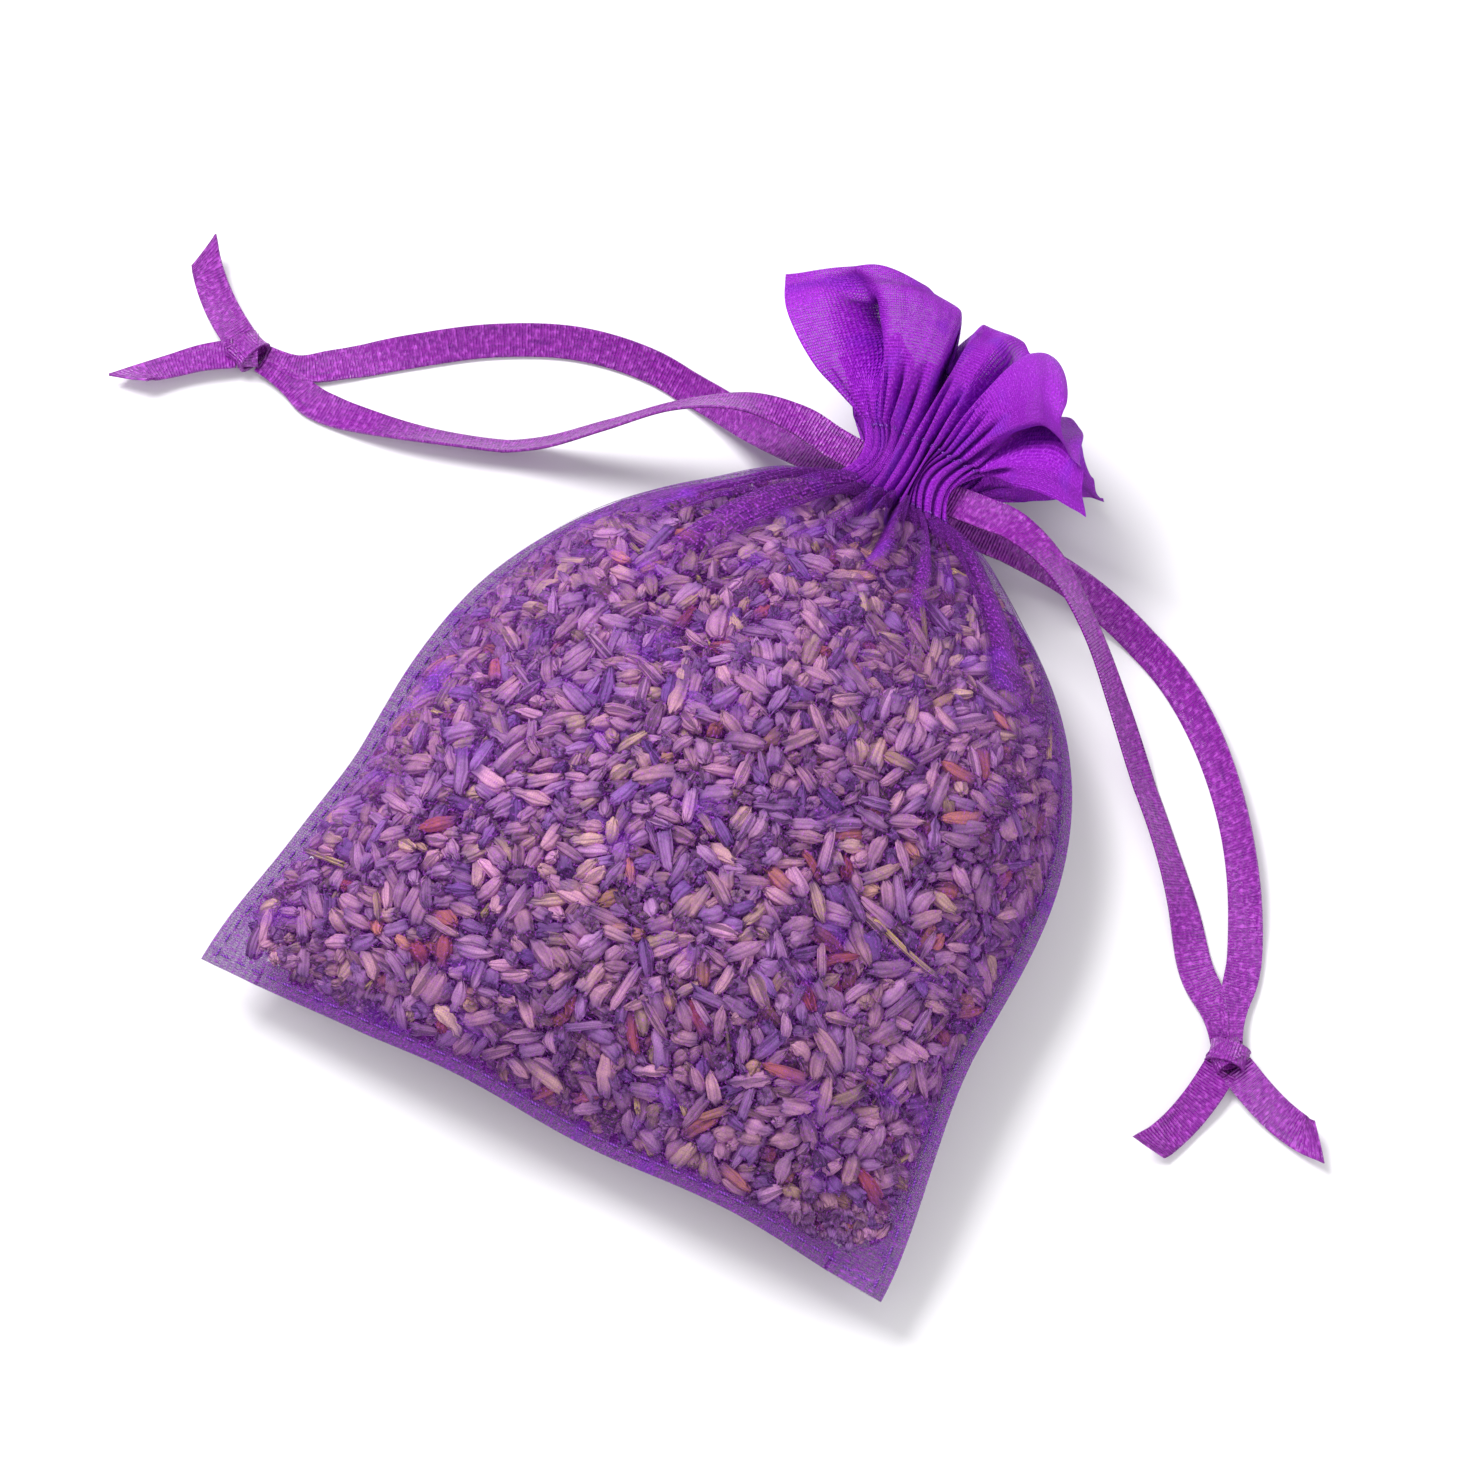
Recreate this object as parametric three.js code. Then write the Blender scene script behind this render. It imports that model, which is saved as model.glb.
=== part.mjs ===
// Organza drawstring sachet filled with dried lavender, lying on its back on a table.
// Millimetres: x runs across the bag, y from the bottom seam to the heading, z up from the table.
import * as THREE from 'three';

// Shared fits
const CLEARANCE = 0.3; // gap between neighbouring pieces

// Cloth
const CLOTH = 0.6; // organza as modelled
const HEADING_CLOTH = 0.9; // folded double layer above the channel
const THREAD = 0.5; // sewing thread
const SEAM_THICKNESS = 0.6; // overlocked seam allowance between the panels
const SEAM_ALLOWANCE = 3.5;

// Filled body
const BODY_BELOW_ORIGIN = 46; // from the middle of the resting face down to the bottom seam
const BODY_LENGTH = 93; // bottom seam to drawstring channel
const BOTTOM_WIDTH = 95; // across the flat bottom corners
const WAIST_WIDTH = 87; // across the middle, where the filling draws the sides in
const WAIST_LENGTH = 34; // over which the sides draw in from the corners
const SEAM_HEIGHT = 12; // seams above the table
const CROWN = 20; // front bulge above the seams
const BELLY = 17; // back bulge below the seams, before the table flattens it
const FLANGE = 1.9; // flat sewn margin outside the bulge
const FOOT_LENGTH = 34; // over which the bulge grows from the bottom seam
const SHOULDER_LENGTH = 50; // over which the body closes to the neck
const CORNER_DROOP = 3.5; // of the two empty bottom corners
const LUMP_HEIGHT = 0.8; // broad lumps of the loose filling
const LUMP_SPREAD = 5;
const FILL_NECK_GAP = 9; // filling stops short of the neck
const FILL_SLACK = 0.8; // loose cloth over the filling

// Gathered neck with its drawstring channels
const NECK_WIDTH = 17;
const NECK_THICKNESS = 13;
const NECK_END_THICKNESS = 7.4; // at the two ends of the channels
const CHANNEL_LENGTH = 9;
const CHANNEL_ROUND = 2; // rounding of the channel's edges along y
const PLEATS = 7;
const PLEAT_DEPTH = 0.8;
const STITCH_INSET = 1.2; // stitch rows from the channel's edges

// Heading ruffle, one flap in front and one behind
const HEADING_LENGTH = 25;
const SHORTEST_REACH = 0.72; // foot to free edge in a straight line, as a share of the length
const LOBES = 4;
const LOBE_UNEVEN = 0.06; // shift that makes some lobes wider than others
const FOLD_AT_NECK = 1.1; // half depth of the folds
const FRONT_FOLD_AT_EDGE = 2.2;
const BACK_FOLD_AT_EDGE = 1.4;
const FLAP_OFFSET = 3.2; // middle of each flap's foot from the seam plane

// Satin drawstrings
const RIBBON_WIDTH = 4.5;
const RIBBON_THICKNESS = 0.5;
const CHANNEL_FLOOR = 0.9; // cloth under the ribbons in each channel
const EXIT_REACH = 2; // from the channel's end to where a strand starts to swing
const RUN_LAP = 0.7; // run reaching past that point, under the strand
const KNOT_RADIUS = 1.9;
const KNOT_TUBE = 0.7;
const TAIL_LENGTH = 12;
const TABLE_GAP = 0.35; // ribbon above the table

// Places that follow from the sizes
const BOTTOM_Y = -BODY_BELOW_ORIGIN;
const NECK_Y = BOTTOM_Y + BODY_LENGTH;
const CHANNEL_Y = NECK_Y + CLEARANCE;
const CHANNEL_MIDDLE_Y = CHANNEL_Y + CHANNEL_LENGTH / 2;
const HEADING_Y = CHANNEL_Y + CHANNEL_LENGTH + CLEARANCE + HEADING_CLOTH / 2;
const SEAM_EDGE = SEAM_THICKNESS / 2 + CLEARANCE + CLOTH; // panel faces off the seam plane at their edges
const NECK_HALF = NECK_WIDTH / 2;
const TURN_LEVEL = CLEARANCE / 2 + CHANNEL_FLOOR + CLEARANCE + RIBBON_THICKNESS / 2;
const RUN_LEVEL = TURN_LEVEL + RIBBON_THICKNESS + CLEARANCE;
const STRAND_LEVEL = RUN_LEVEL + RIBBON_THICKNESS + CLEARANCE;
const EXIT_X = NECK_HALF + EXIT_REACH;
const KNOT_REACH = 1.5 * KNOT_RADIUS + KNOT_TUBE + CLEARANCE; // knot's middle to a ribbon's end
const RIBBON_LEVEL = TABLE_GAP + RIBBON_THICKNESS / 2;

const organza = { color: 0x7a1fae, roughness: 0.55 };
const seamCloth = { color: 0x5c1488, roughness: 0.6 };
const thread = { color: 0x8f3ac4, roughness: 0.6 };
const satin = { color: 0x9a2cab, roughness: 0.3 };
const lavender = { color: 0x83577f, roughness: 0.9 };

const part = new THREE.Group();
part.name = 'lavender_sachet';

function add(name, geometry, look) {
  const mesh = new THREE.Mesh(geometry, new THREE.MeshStandardMaterial(look));
  mesh.name = name;
  part.add(mesh);
}

// Closes two matching grids of points into one solid, with a rim all round.
function shell(upper, lower, across, along) {
  const positions = [];
  const triangles = [];
  const row = across + 1;
  const layer = row * (along + 1);
  for (const face of [upper, lower]) {
    for (let j = 0; j <= along; j += 1) {
      for (let i = 0; i <= across; i += 1) {
        positions.push(...face(i / across, j / along).toArray());
      }
    }
  }
  for (let j = 0; j < along; j += 1) {
    for (let i = 0; i < across; i += 1) {
      const a = j * row + i;
      const b = a + 1;
      const c = b + row;
      const d = a + row;
      triangles.push(a, b, c, a, c, d);
      triangles.push(a + layer, c + layer, b + layer, a + layer, d + layer, c + layer);
    }
  }
  const rim = [];
  for (let i = 0; i < across; i += 1) rim.push(i);
  for (let j = 0; j < along; j += 1) rim.push(j * row + across);
  for (let i = across; i > 0; i -= 1) rim.push(along * row + i);
  for (let j = along; j > 0; j -= 1) rim.push(j * row);
  rim.forEach((p, k) => {
    const q = rim[(k + 1) % rim.length];
    triangles.push(p + layer, q + layer, q, p + layer, q, p);
  });
  return solid(positions, triangles);
}

function solid(positions, triangles) {
  const geometry = new THREE.BufferGeometry();
  geometry.setAttribute('position', new THREE.Float32BufferAttribute(positions, 3));
  geometry.setIndex(triangles);
  return geometry;
}

// Cloth of even thickness on a surface given by point(u, v), split above and below that surface.
function sheet(point, above, below, across, along) {
  const step = 0.004;
  const normal = (u, v) => {
    const s = THREE.MathUtils.clamp(u, 0.02, 0.98);
    const t = THREE.MathUtils.clamp(v, 0.02, 0.98);
    const alongU = point(s + step, t).sub(point(s - step, t));
    const alongV = point(s, t + step).sub(point(s, t - step));
    return alongU.cross(alongV).normalize();
  };
  const offset = (distance) => (u, v) => point(u, v).addScaledVector(normal(u, v), distance);
  return shell(offset(above), offset(-below), across, along);
}

// Flat strip along a list of points; it lies level unless a direction across it is given.
function ribbon(points, width, thickness, across) {
  const last = points.length - 1;
  const up = new THREE.Vector3(0, 0, 1);
  const face = (side) => (u, v) => {
    const k = Math.round(v * last);
    const ahead = points[Math.min(k + 1, last)];
    const behind = points[Math.max(k - 1, 0)];
    const tangent = ahead.clone().sub(behind).normalize();
    const wide = across ? across.clone() : tangent.clone().cross(up).normalize();
    const thick = wide.clone().cross(tangent);
    return points[k].clone()
      .addScaledVector(wide, (u - 0.5) * width)
      .addScaledVector(thick, (side * thickness) / 2);
  };
  return shell(face(1), face(-1), 1, last);
}

// Tube with a hole through it, from matching rings of points along its length.
function tunnel(outerRings, innerRings) {
  const positions = [];
  const triangles = [];
  const bases = [outerRings, innerRings].map((rings) => rings.map((ring) => {
    const base = positions.length / 3;
    ring.forEach((p) => positions.push(...p.toArray()));
    return base;
  }));
  const count = outerRings[0].length;
  const stations = outerRings.length;
  const quad = (a, b, c, d) => triangles.push(a, b, c, a, c, d);
  for (let i = 0; i < count; i += 1) {
    const n = (i + 1) % count;
    for (let j = 0; j + 1 < stations; j += 1) {
      const [outer, inner] = bases;
      quad(outer[j] + i, outer[j] + n, outer[j + 1] + n, outer[j + 1] + i);
      quad(inner[j] + n, inner[j] + i, inner[j + 1] + i, inner[j + 1] + n);
    }
    const [first, hole] = [bases[0][0], bases[1][0]];
    const [end, endHole] = [bases[0][stations - 1], bases[1][stations - 1]];
    quad(first + n, first + i, hole + i, hole + n);
    quad(end + i, end + n, endHole + n, endHole + i);
  }
  return solid(positions, triangles);
}

// Mirror image about the planes whose sign is -1, with its faces still outwards.
function mirrored(geometry, x, y, z) {
  const copy = geometry.clone().scale(x, y, z);
  const index = copy.index.array;
  for (let i = 0; i < index.length; i += 3) [index[i + 1], index[i + 2]] = [index[i + 2], index[i + 1]];
  return copy;
}

const shoulder = (s) => Math.max(0, 1 - ((1 - s) * BODY_LENGTH) / SHOULDER_LENGTH);

function halfWidth(s) {
  const drawn = THREE.MathUtils.smoothstep(s * BODY_LENGTH, 0, WAIST_LENGTH);
  const side = THREE.MathUtils.lerp(BOTTOM_WIDTH, WAIST_WIDTH, drawn) / 2;
  return NECK_HALF + (side - NECK_HALF) * (1 - shoulder(s) ** 2.4) ** 0.7;
}

function swell(s) {
  const foot = THREE.MathUtils.clamp((s * BODY_LENGTH - FLANGE) / (FOOT_LENGTH - FLANGE), 0, 1);
  return Math.sin((foot * Math.PI) / 2) ** 0.7 * (1 - shoulder(s) ** 2.6) ** 0.8;
}

const arch = (t) => Math.sqrt(Math.max(0, 1 - t * t));

// Bulge at a place on the plan, with the lumps of the filling.
function plump(bulge, x, y) {
  const along = Math.sin((x + 0.4 * y) / LUMP_SPREAD);
  const across = Math.sin((y - 0.3 * x) / (1.3 * LUMP_SPREAD) + 1);
  return bulge + LUMP_HEIGHT * (along + across);
}

// Height of the sewn edges, s along the body and t across it from -1 to 1.
function seamLevel(s, t) {
  const outwards = THREE.MathUtils.smoothstep(Math.abs(t), 0.55, 1);
  return SEAM_HEIGHT - CORNER_DROOP * outwards * (1 - THREE.MathUtils.smoothstep(s, 0, 0.3));
}

// Height of a panel's outer face off the seams.
function panelHeight(bulge, s, t) {
  const gather = shoulder(s);
  const x = t * halfWidth(s);
  const inner = halfWidth(s) - FLANGE * (1 - gather ** 2);
  const pleat = PLEAT_DEPTH * gather ** 3 * Math.cos(Math.PI * PLEATS * (t + 1));
  const neck = (NECK_THICKNESS / 2 - SEAM_EDGE) * gather ** 2;
  const body = plump(bulge, x, BOTTOM_Y + s * BODY_LENGTH) * swell(s) * arch(x / inner) ** 1.3;
  return SEAM_EDGE + body + (neck + pleat) * arch(t);
}

// Places across and along a panel, closer together towards its edges.
const acrossPanel = (u) => 0.55 * Math.sin(Math.PI * (u - 0.5)) + 0.45 * (2 * u - 1);
const alongPanel = (v) => 0.5 * v + 0.25 * (1 - Math.cos(Math.PI * v));

function panelPoint(side, bulge) {
  return (u, v) => {
    const t = acrossPanel(u);
    const s = alongPanel(v);
    const z = Math.max(0, seamLevel(s, t) + side * panelHeight(bulge, s, t));
    return new THREE.Vector3(t * halfWidth(s), BOTTOM_Y + s * BODY_LENGTH, z);
  };
}

add('front_panel', sheet(panelPoint(1, CROWN), 0, CLOTH, 4 * PLEATS, 17), organza);
add('back_panel', sheet(panelPoint(-1, BELLY), CLOTH, 0, 4 * PLEATS, 17), organza);

// Loose buds as one body inside the panels and the seam allowances.
function fillPoint(side, bulge) {
  const inset = SEAM_ALLOWANCE + FILL_SLACK;
  const start = BOTTOM_Y + inset;
  const end = NECK_Y - FILL_NECK_GAP;
  const rim = SEAM_THICKNESS / 2;
  const height = SEAM_EDGE + bulge - CLOTH - FILL_SLACK - rim;
  return (u, v) => {
    const t = 2 * u - 1;
    const x = t * (halfWidth(v) - inset);
    const y = THREE.MathUtils.lerp(start, end, v);
    const level = seamLevel((y - BOTTOM_Y) / BODY_LENGTH, t);
    const z = level + side * (rim + plump(height, x, y) * swell(v) * arch(t) ** 1.3);
    return new THREE.Vector3(x, y, Math.max(CLOTH + CLEARANCE, z));
  };
}

add('lavender_fill', shell(fillPoint(1, CROWN), fillPoint(-1, BELLY), 20, 12), lavender);

// Seam allowances lie flat between the panels' edges.
function sideSeam(u, v) {
  const x = halfWidth(v) - SEAM_ALLOWANCE * (1 - u);
  return new THREE.Vector3(x, BOTTOM_Y + v * BODY_LENGTH, seamLevel(v, x / halfWidth(v)));
}

function bottomSeam(u, v) {
  const x = (2 * u - 1) * (BOTTOM_WIDTH / 2 - SEAM_ALLOWANCE - CLEARANCE);
  const s = (v * SEAM_ALLOWANCE) / BODY_LENGTH;
  return new THREE.Vector3(x, BOTTOM_Y + s * BODY_LENGTH, seamLevel(s, x / halfWidth(s)));
}

const rightSeam = sheet(sideSeam, SEAM_THICKNESS / 2, SEAM_THICKNESS / 2, 1, 20);
add('right_side_seam', rightSeam, seamCloth);
add('left_side_seam', mirrored(rightSeam, -1, 1, 1), seamCloth);
add('bottom_seam', sheet(bottomSeam, SEAM_THICKNESS / 2, SEAM_THICKNESS / 2, 28, 1), seamCloth);

// Outer face of the front channel above the seam plane, pleated across the neck.
function channelTop(t) {
  const crown = (NECK_THICKNESS - NECK_END_THICKNESS) / 2;
  return NECK_END_THICKNESS / 2 + (crown + PLEAT_DEPTH * Math.cos(Math.PI * PLEATS * (t + 1))) * arch(t);
}

function channelRings() {
  const stations = 4 * PLEATS;
  const low = CLEARANCE / 2;
  const slotLow = low + CHANNEL_FLOOR;
  const slotHigh = RUN_LEVEL + RIBBON_THICKNESS / 2 + CLEARANCE;
  const slotHalf = RIBBON_WIDTH / 2 + CLEARANCE;
  const chamfer = CHANNEL_ROUND / 4;
  const outer = [];
  const inner = [];
  for (let j = 0; j <= stations; j += 1) {
    const t = (2 * j) / stations - 1;
    const x = t * NECK_HALF;
    const y0 = CHANNEL_Y;
    const y1 = CHANNEL_Y + CHANNEL_LENGTH;
    const top = channelTop(t);
    const ring = [
      [y0, low], [y1, low], [y1, top - chamfer],
      [y1 - CHANNEL_ROUND, top], [y0 + CHANNEL_ROUND, top], [y0, top - chamfer],
    ];
    const hole = [
      [CHANNEL_MIDDLE_Y - slotHalf, slotLow], [CHANNEL_MIDDLE_Y + slotHalf, slotLow],
      [CHANNEL_MIDDLE_Y + slotHalf, slotHigh], [CHANNEL_MIDDLE_Y + slotHalf / 2, slotHigh],
      [CHANNEL_MIDDLE_Y - slotHalf / 2, slotHigh], [CHANNEL_MIDDLE_Y - slotHalf, slotHigh],
    ];
    outer.push(ring.map(([y, z]) => new THREE.Vector3(x, y, z)));
    inner.push(hole.map(([y, z]) => new THREE.Vector3(x, y, z)));
  }
  return tunnel(outer, inner);
}

// Neck pieces are drawn about the seam plane, so each serves for front and back.
const atNeck = (geometry) => geometry.translate(0, 0, SEAM_HEIGHT);
const behindNeck = (geometry) => atNeck(mirrored(geometry, 1, 1, -1));

const channel = channelRings();
add('back_channel', behindNeck(channel), organza);
add('front_channel', atNeck(channel), organza);

function stitchRow(y) {
  const stations = 4 * PLEATS;
  const points = [];
  for (let j = 1; j < stations; j += 1) {
    const t = (2 * j) / stations - 1;
    points.push(new THREE.Vector3(t * NECK_HALF, y, channelTop(t) + CLEARANCE + THREAD / 2));
  }
  return ribbon(points, THREAD, THREAD, new THREE.Vector3(0, 1, 0));
}

const stitchRows = {
  lower: CHANNEL_Y + STITCH_INSET,
  upper: CHANNEL_Y + CHANNEL_LENGTH - STITCH_INSET,
};
for (const [row, y] of Object.entries(stitchRows)) {
  const stitches = stitchRow(y);
  add(`back_${row}_stitches`, behindNeck(stitches), thread);
  add(`front_${row}_stitches`, atNeck(stitches), thread);
}

// Free edge of each heading flap from left to right, from the middle of its foot. In front one lobe stands up
// on the left, one rolls over on the right, and a valley lies between them. The back droops to the table.
const FRONT_EDGE = [[-25, 11, 9], [-17, 14.5, 13], [-9.5, 16.3, 10], [-3.3, 15.1, 5], [1, 14.5, 4.5], [7, 11.5, 8],
  [15.4, 6.6, 15], [20.2, 2.2, 14], [22.3, -1.5, 9.5]];
const BACK_EDGE = [[-18, 12, -8], [-13, 16, -9], [-6, 17.5, -9.5], [2, 17, -9.5], [9, 14, -9], [14, 10, -8],
  [16.5, 6.5, -6.5]];

// Heading flap: it bows out from the neck to its free edge, with folds that deepen on the way.
function flapPoint(side, edge, bow, foldAtEdge) {
  const curve = new THREE.CatmullRomCurve3(edge.map((p) => new THREE.Vector3(...p)), false, 'catmullrom');
  return (u, v) => {
    const t = 2 * u - 1;
    const foot = new THREE.Vector3(t * NECK_HALF, 0, side * FLAP_OFFSET);
    const run = curve.getPoint(u).sub(foot);
    run.setLength(Math.max(run.length(), SHORTEST_REACH * HEADING_LENGTH));
    const slack = Math.max(0, HEADING_LENGTH / run.length() - 1);
    const rise = run.length() * Math.sqrt(0.375 * slack) * Math.sin(Math.PI * v);
    const wave = Math.cos(Math.PI * LOBES * (t + LOBE_UNEVEN * Math.sin(5 * t)));
    const fold = side * wave * THREE.MathUtils.lerp(FOLD_AT_NECK, foldAtEdge, v);
    return new THREE.Vector3(0, HEADING_Y, SEAM_HEIGHT + fold)
      .add(foot)
      .addScaledVector(run, v)
      .addScaledVector(bow, rise);
  };
}

const frontFlap = flapPoint(1, FRONT_EDGE, new THREE.Vector3(0, 0.85, 0.4), FRONT_FOLD_AT_EDGE);
const backFlap = flapPoint(-1, BACK_EDGE, new THREE.Vector3(0, 0.95, 0), BACK_FOLD_AT_EDGE);
add('front_heading', sheet(frontFlap, HEADING_CLOTH / 2, HEADING_CLOTH / 2, 6 * LOBES, 5), organza);
add('back_heading', sheet(backFlap, HEADING_CLOTH / 2, HEADING_CLOTH / 2, 6 * LOBES, 5), organza);

// Each drawstring turns round the far end of the neck inside the other one's runs.
function turn() {
  const path = new THREE.Path();
  path.moveTo(CLEARANCE, TURN_LEVEL);
  path.lineTo(NECK_HALF + CLEARANCE, TURN_LEVEL);
  path.absarc(NECK_HALF + CLEARANCE, 0, TURN_LEVEL, Math.PI / 2, -Math.PI / 2, true);
  path.lineTo(CLEARANCE, -TURN_LEVEL);
  const points = path.getPoints(5).map((p) => new THREE.Vector3(p.x, CHANNEL_MIDDLE_Y, p.y));
  return ribbon(points, RIBBON_WIDTH, RIBBON_THICKNESS, new THREE.Vector3(0, 1, 0));
}

function run() {
  const ends = [CLEARANCE, EXIT_X + RUN_LAP];
  const points = ends.map((x) => new THREE.Vector3(x, CHANNEL_MIDDLE_Y, RUN_LEVEL));
  return ribbon(points, RIBBON_WIDTH, RIBBON_THICKNESS);
}

const rightTurn = turn();
add('left_drawstring_turn', atNeck(rightTurn.clone()), satin);
add('right_drawstring_turn', atNeck(mirrored(rightTurn, -1, 1, 1)), satin);
const frontRun = run();
const backRun = mirrored(frontRun, 1, 1, -1);
add('right_run_front', atNeck(frontRun.clone()), satin);
add('right_run_back', atNeck(backRun.clone()), satin);
add('left_run_front', atNeck(mirrored(frontRun, -1, 1, 1)), satin);
add('left_run_back', atNeck(mirrored(backRun, -1, 1, 1)), satin);

// Loops of ribbon outside the neck: middle points of each strand, then the knot and the way into it.
const loops = {
  left: {
    exit: -EXIT_X,
    knot: [-87, 34],
    heading: 182,
    front: [[-16, 51.8, 16.8], [-23, 50.6, 17.2], [-31, 47.6, 14], [-39, 43.4, 8.4], [-47, 39.2, 3.2],
      [-55.5, 35.8, 0.8], [-65, 33.2, 0.6], [-75, 32, 0.6]],
    back: [[-16, 52.2, 8], [-23, 53.6, 5.6], [-31, 55.8, 2.6], [-40, 57, 0.9], [-50, 55.4, 0.6],
      [-59.5, 50.8, 0.6], [-68.5, 44.4, 0.6], [-75.6, 38.8, 0.6]],
  },
  right: {
    exit: EXIT_X,
    knot: [69.5, 5],
    heading: 300,
    front: [[16, 51.4, 16.2], [23, 49, 15.4], [30, 44.8, 11.6], [36.6, 39.6, 6.4], [43, 33.8, 2.2],
      [49, 27.8, 0.7], [55, 21.2, 0.6], [60.4, 14.4, 0.6]],
    back: [[16, 52.4, 8], [23, 53, 5.6], [31, 52.2, 2.6], [39.4, 49, 0.9], [47.4, 43.4, 0.6],
      [54.6, 36, 0.6], [60.6, 27.6, 0.6], [65.2, 18.6, 0.6]],
  },
};

const RIBBON_STEPS = 24;

// Places around a knot: forwards along the way into it, and to its right.
function knotPlace(loop, forward, right, level) {
  const angle = THREE.MathUtils.degToRad(loop.heading);
  const [x, y] = loop.knot;
  return new THREE.Vector3(
    x + forward * Math.cos(angle) + right * Math.sin(angle),
    y + forward * Math.sin(angle) - right * Math.cos(angle),
    level,
  );
}

function strand(loop, which, side, lane) {
  const gap = (lane * (RIBBON_WIDTH + CLEARANCE)) / 2;
  const points = [
    new THREE.Vector3(loop.exit, CHANNEL_MIDDLE_Y, SEAM_HEIGHT + side * STRAND_LEVEL),
    ...loop[which].map((p) => new THREE.Vector3(...p)),
    knotPlace(loop, -KNOT_REACH - RIBBON_WIDTH, gap, RIBBON_LEVEL),
    knotPlace(loop, -KNOT_REACH, gap, RIBBON_LEVEL),
  ];
  const route = new THREE.CatmullRomCurve3(points).getSpacedPoints(RIBBON_STEPS);
  return ribbon(route, RIBBON_WIDTH, RIBBON_THICKNESS);
}

// Trefoil with one lobe towards the strands and one towards each tail.
function knot(loop) {
  const geometry = new THREE.TorusKnotGeometry(KNOT_RADIUS, KNOT_TUBE, 36, 5, 2, 3);
  const level = TABLE_GAP + KNOT_RADIUS / 2 + KNOT_TUBE;
  const [x, y] = loop.knot;
  return geometry.rotateZ(THREE.MathUtils.degToRad(loop.heading + 180)).translate(x, y, level);
}

function tail(loop, side) {
  const angle = THREE.MathUtils.degToRad(60);
  const ends = [KNOT_REACH, KNOT_REACH + TAIL_LENGTH];
  const points = ends.map((r) => knotPlace(loop, r * Math.cos(angle), side * r * Math.sin(angle), RIBBON_LEVEL));
  return ribbon(points, RIBBON_WIDTH, RIBBON_THICKNESS);
}

for (const [name, loop] of Object.entries(loops)) {
  const frontLane = Math.sign(loop.exit);
  add(`${name}_strand_front`, strand(loop, 'front', 1, frontLane), satin);
  add(`${name}_strand_back`, strand(loop, 'back', -1, -frontLane), satin);
  add(`${name}_knot`, knot(loop), satin);
  add(`${name}_tail_front`, tail(loop, frontLane), satin);
  add(`${name}_tail_back`, tail(loop, -frontLane), satin);
}

export default part;
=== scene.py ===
"""Dresses the lavender sachet: sheer organza, loose dried buds, sewn seams and satin drawstrings."""

import math
from types import SimpleNamespace

import bpy
import numpy as np
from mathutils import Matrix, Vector, kdtree


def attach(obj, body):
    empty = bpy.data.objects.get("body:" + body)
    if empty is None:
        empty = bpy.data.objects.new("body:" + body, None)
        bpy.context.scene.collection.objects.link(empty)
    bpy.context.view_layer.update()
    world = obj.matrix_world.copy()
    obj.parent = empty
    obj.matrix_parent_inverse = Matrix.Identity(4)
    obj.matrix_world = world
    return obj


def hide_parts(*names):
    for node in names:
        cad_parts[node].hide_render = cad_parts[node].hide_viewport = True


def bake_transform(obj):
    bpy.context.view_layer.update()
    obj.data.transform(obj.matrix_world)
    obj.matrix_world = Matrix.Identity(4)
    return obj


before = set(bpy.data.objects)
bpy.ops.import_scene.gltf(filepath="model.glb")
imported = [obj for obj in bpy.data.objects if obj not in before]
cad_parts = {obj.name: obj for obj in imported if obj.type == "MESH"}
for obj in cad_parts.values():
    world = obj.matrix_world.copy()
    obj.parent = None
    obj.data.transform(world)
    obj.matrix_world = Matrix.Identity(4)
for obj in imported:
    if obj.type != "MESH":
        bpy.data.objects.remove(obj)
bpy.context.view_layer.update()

# Sizes in millimetres, as in the part: x across, y from bottom seam to heading, z up from the table
MM = 0.001
BOTTOM_Y = -46.0
BODY_LENGTH = 93.0
NECK_Y = BOTTOM_Y + BODY_LENGTH
BOTTOM_WIDTH = 95.0
WAIST_WIDTH = 87.0
WAIST_LENGTH = 34.0
SEAM_HEIGHT = 12.0
CROWN = 20.5
BELLY = 17.0
FOOT_LENGTH = 34.0
SHOULDER_LENGTH = 50.0
CORNER_DROOP = 3.5  # of the two empty bottom corners
LUMP_HEIGHT = 0.8  # broad lumps of the loose filling
LUMP_SPREAD = 5.0
NECK_HALF = 8.5
NECK_EDGE = 3.6  # cloth off the seam plane at the two ends of the drawstring tunnel
NECK_RISE = 1.2  # and this much more in the middle
CHANNEL_LENGTH = 9.6
HEADING_Y = NECK_Y + CHANNEL_LENGTH
NECK_WAIST = 0.3  # share by which the ribbon draws the tunnel's middle in
HEADING_LENGTH = 22.5
SHORTEST_REACH = 0.77  # foot to free edge in a straight line, as a share of that length
FLANGE = 1.9  # flat sewn margin outside the filling
SEAM_ALLOWANCE = 3.5
CORNER_FOLD = 4.5  # more of it, turned in at the bottom corners
CLOTH_GAP = 0.2  # cloth off the seam plane in that margin
TABLE_GAP = 0.12
CLOTH_WIDTH = 98.0  # flat cut of each panel
CLOTH_BODY = 104.0
PLEATS = 16  # gathers at the neck
LOBES = 4  # broad folds that they open into at the free edge
LOBE_UNEVEN = 0.06  # shift that makes some of them wider than others
VALLEY = -0.2  # place across the cloth of the one crease that notches the free edge
PLEAT_DEPTH = 1.8
RUFFLE_DEPTH = 4.0
GATHER_REACH = 19.0  # how far the neck's gathers run into the body
GATHER_FALL = 1.6  # power at which they fade out
RIBBON_WIDTH = 4.4
RIBBON_THICKNESS = 0.26
CHANNEL_MIDDLE_Y = NECK_Y + CHANNEL_LENGTH / 2
TURN_LEVEL = 1.6
STRAND_LEVEL = 3.2  # strands above and below the seam plane where they leave the neck
EXIT_X = 10.5
SIDES = {"front": 1, "back": -1}
UP = np.array([0, 0, 1.0])

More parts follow.
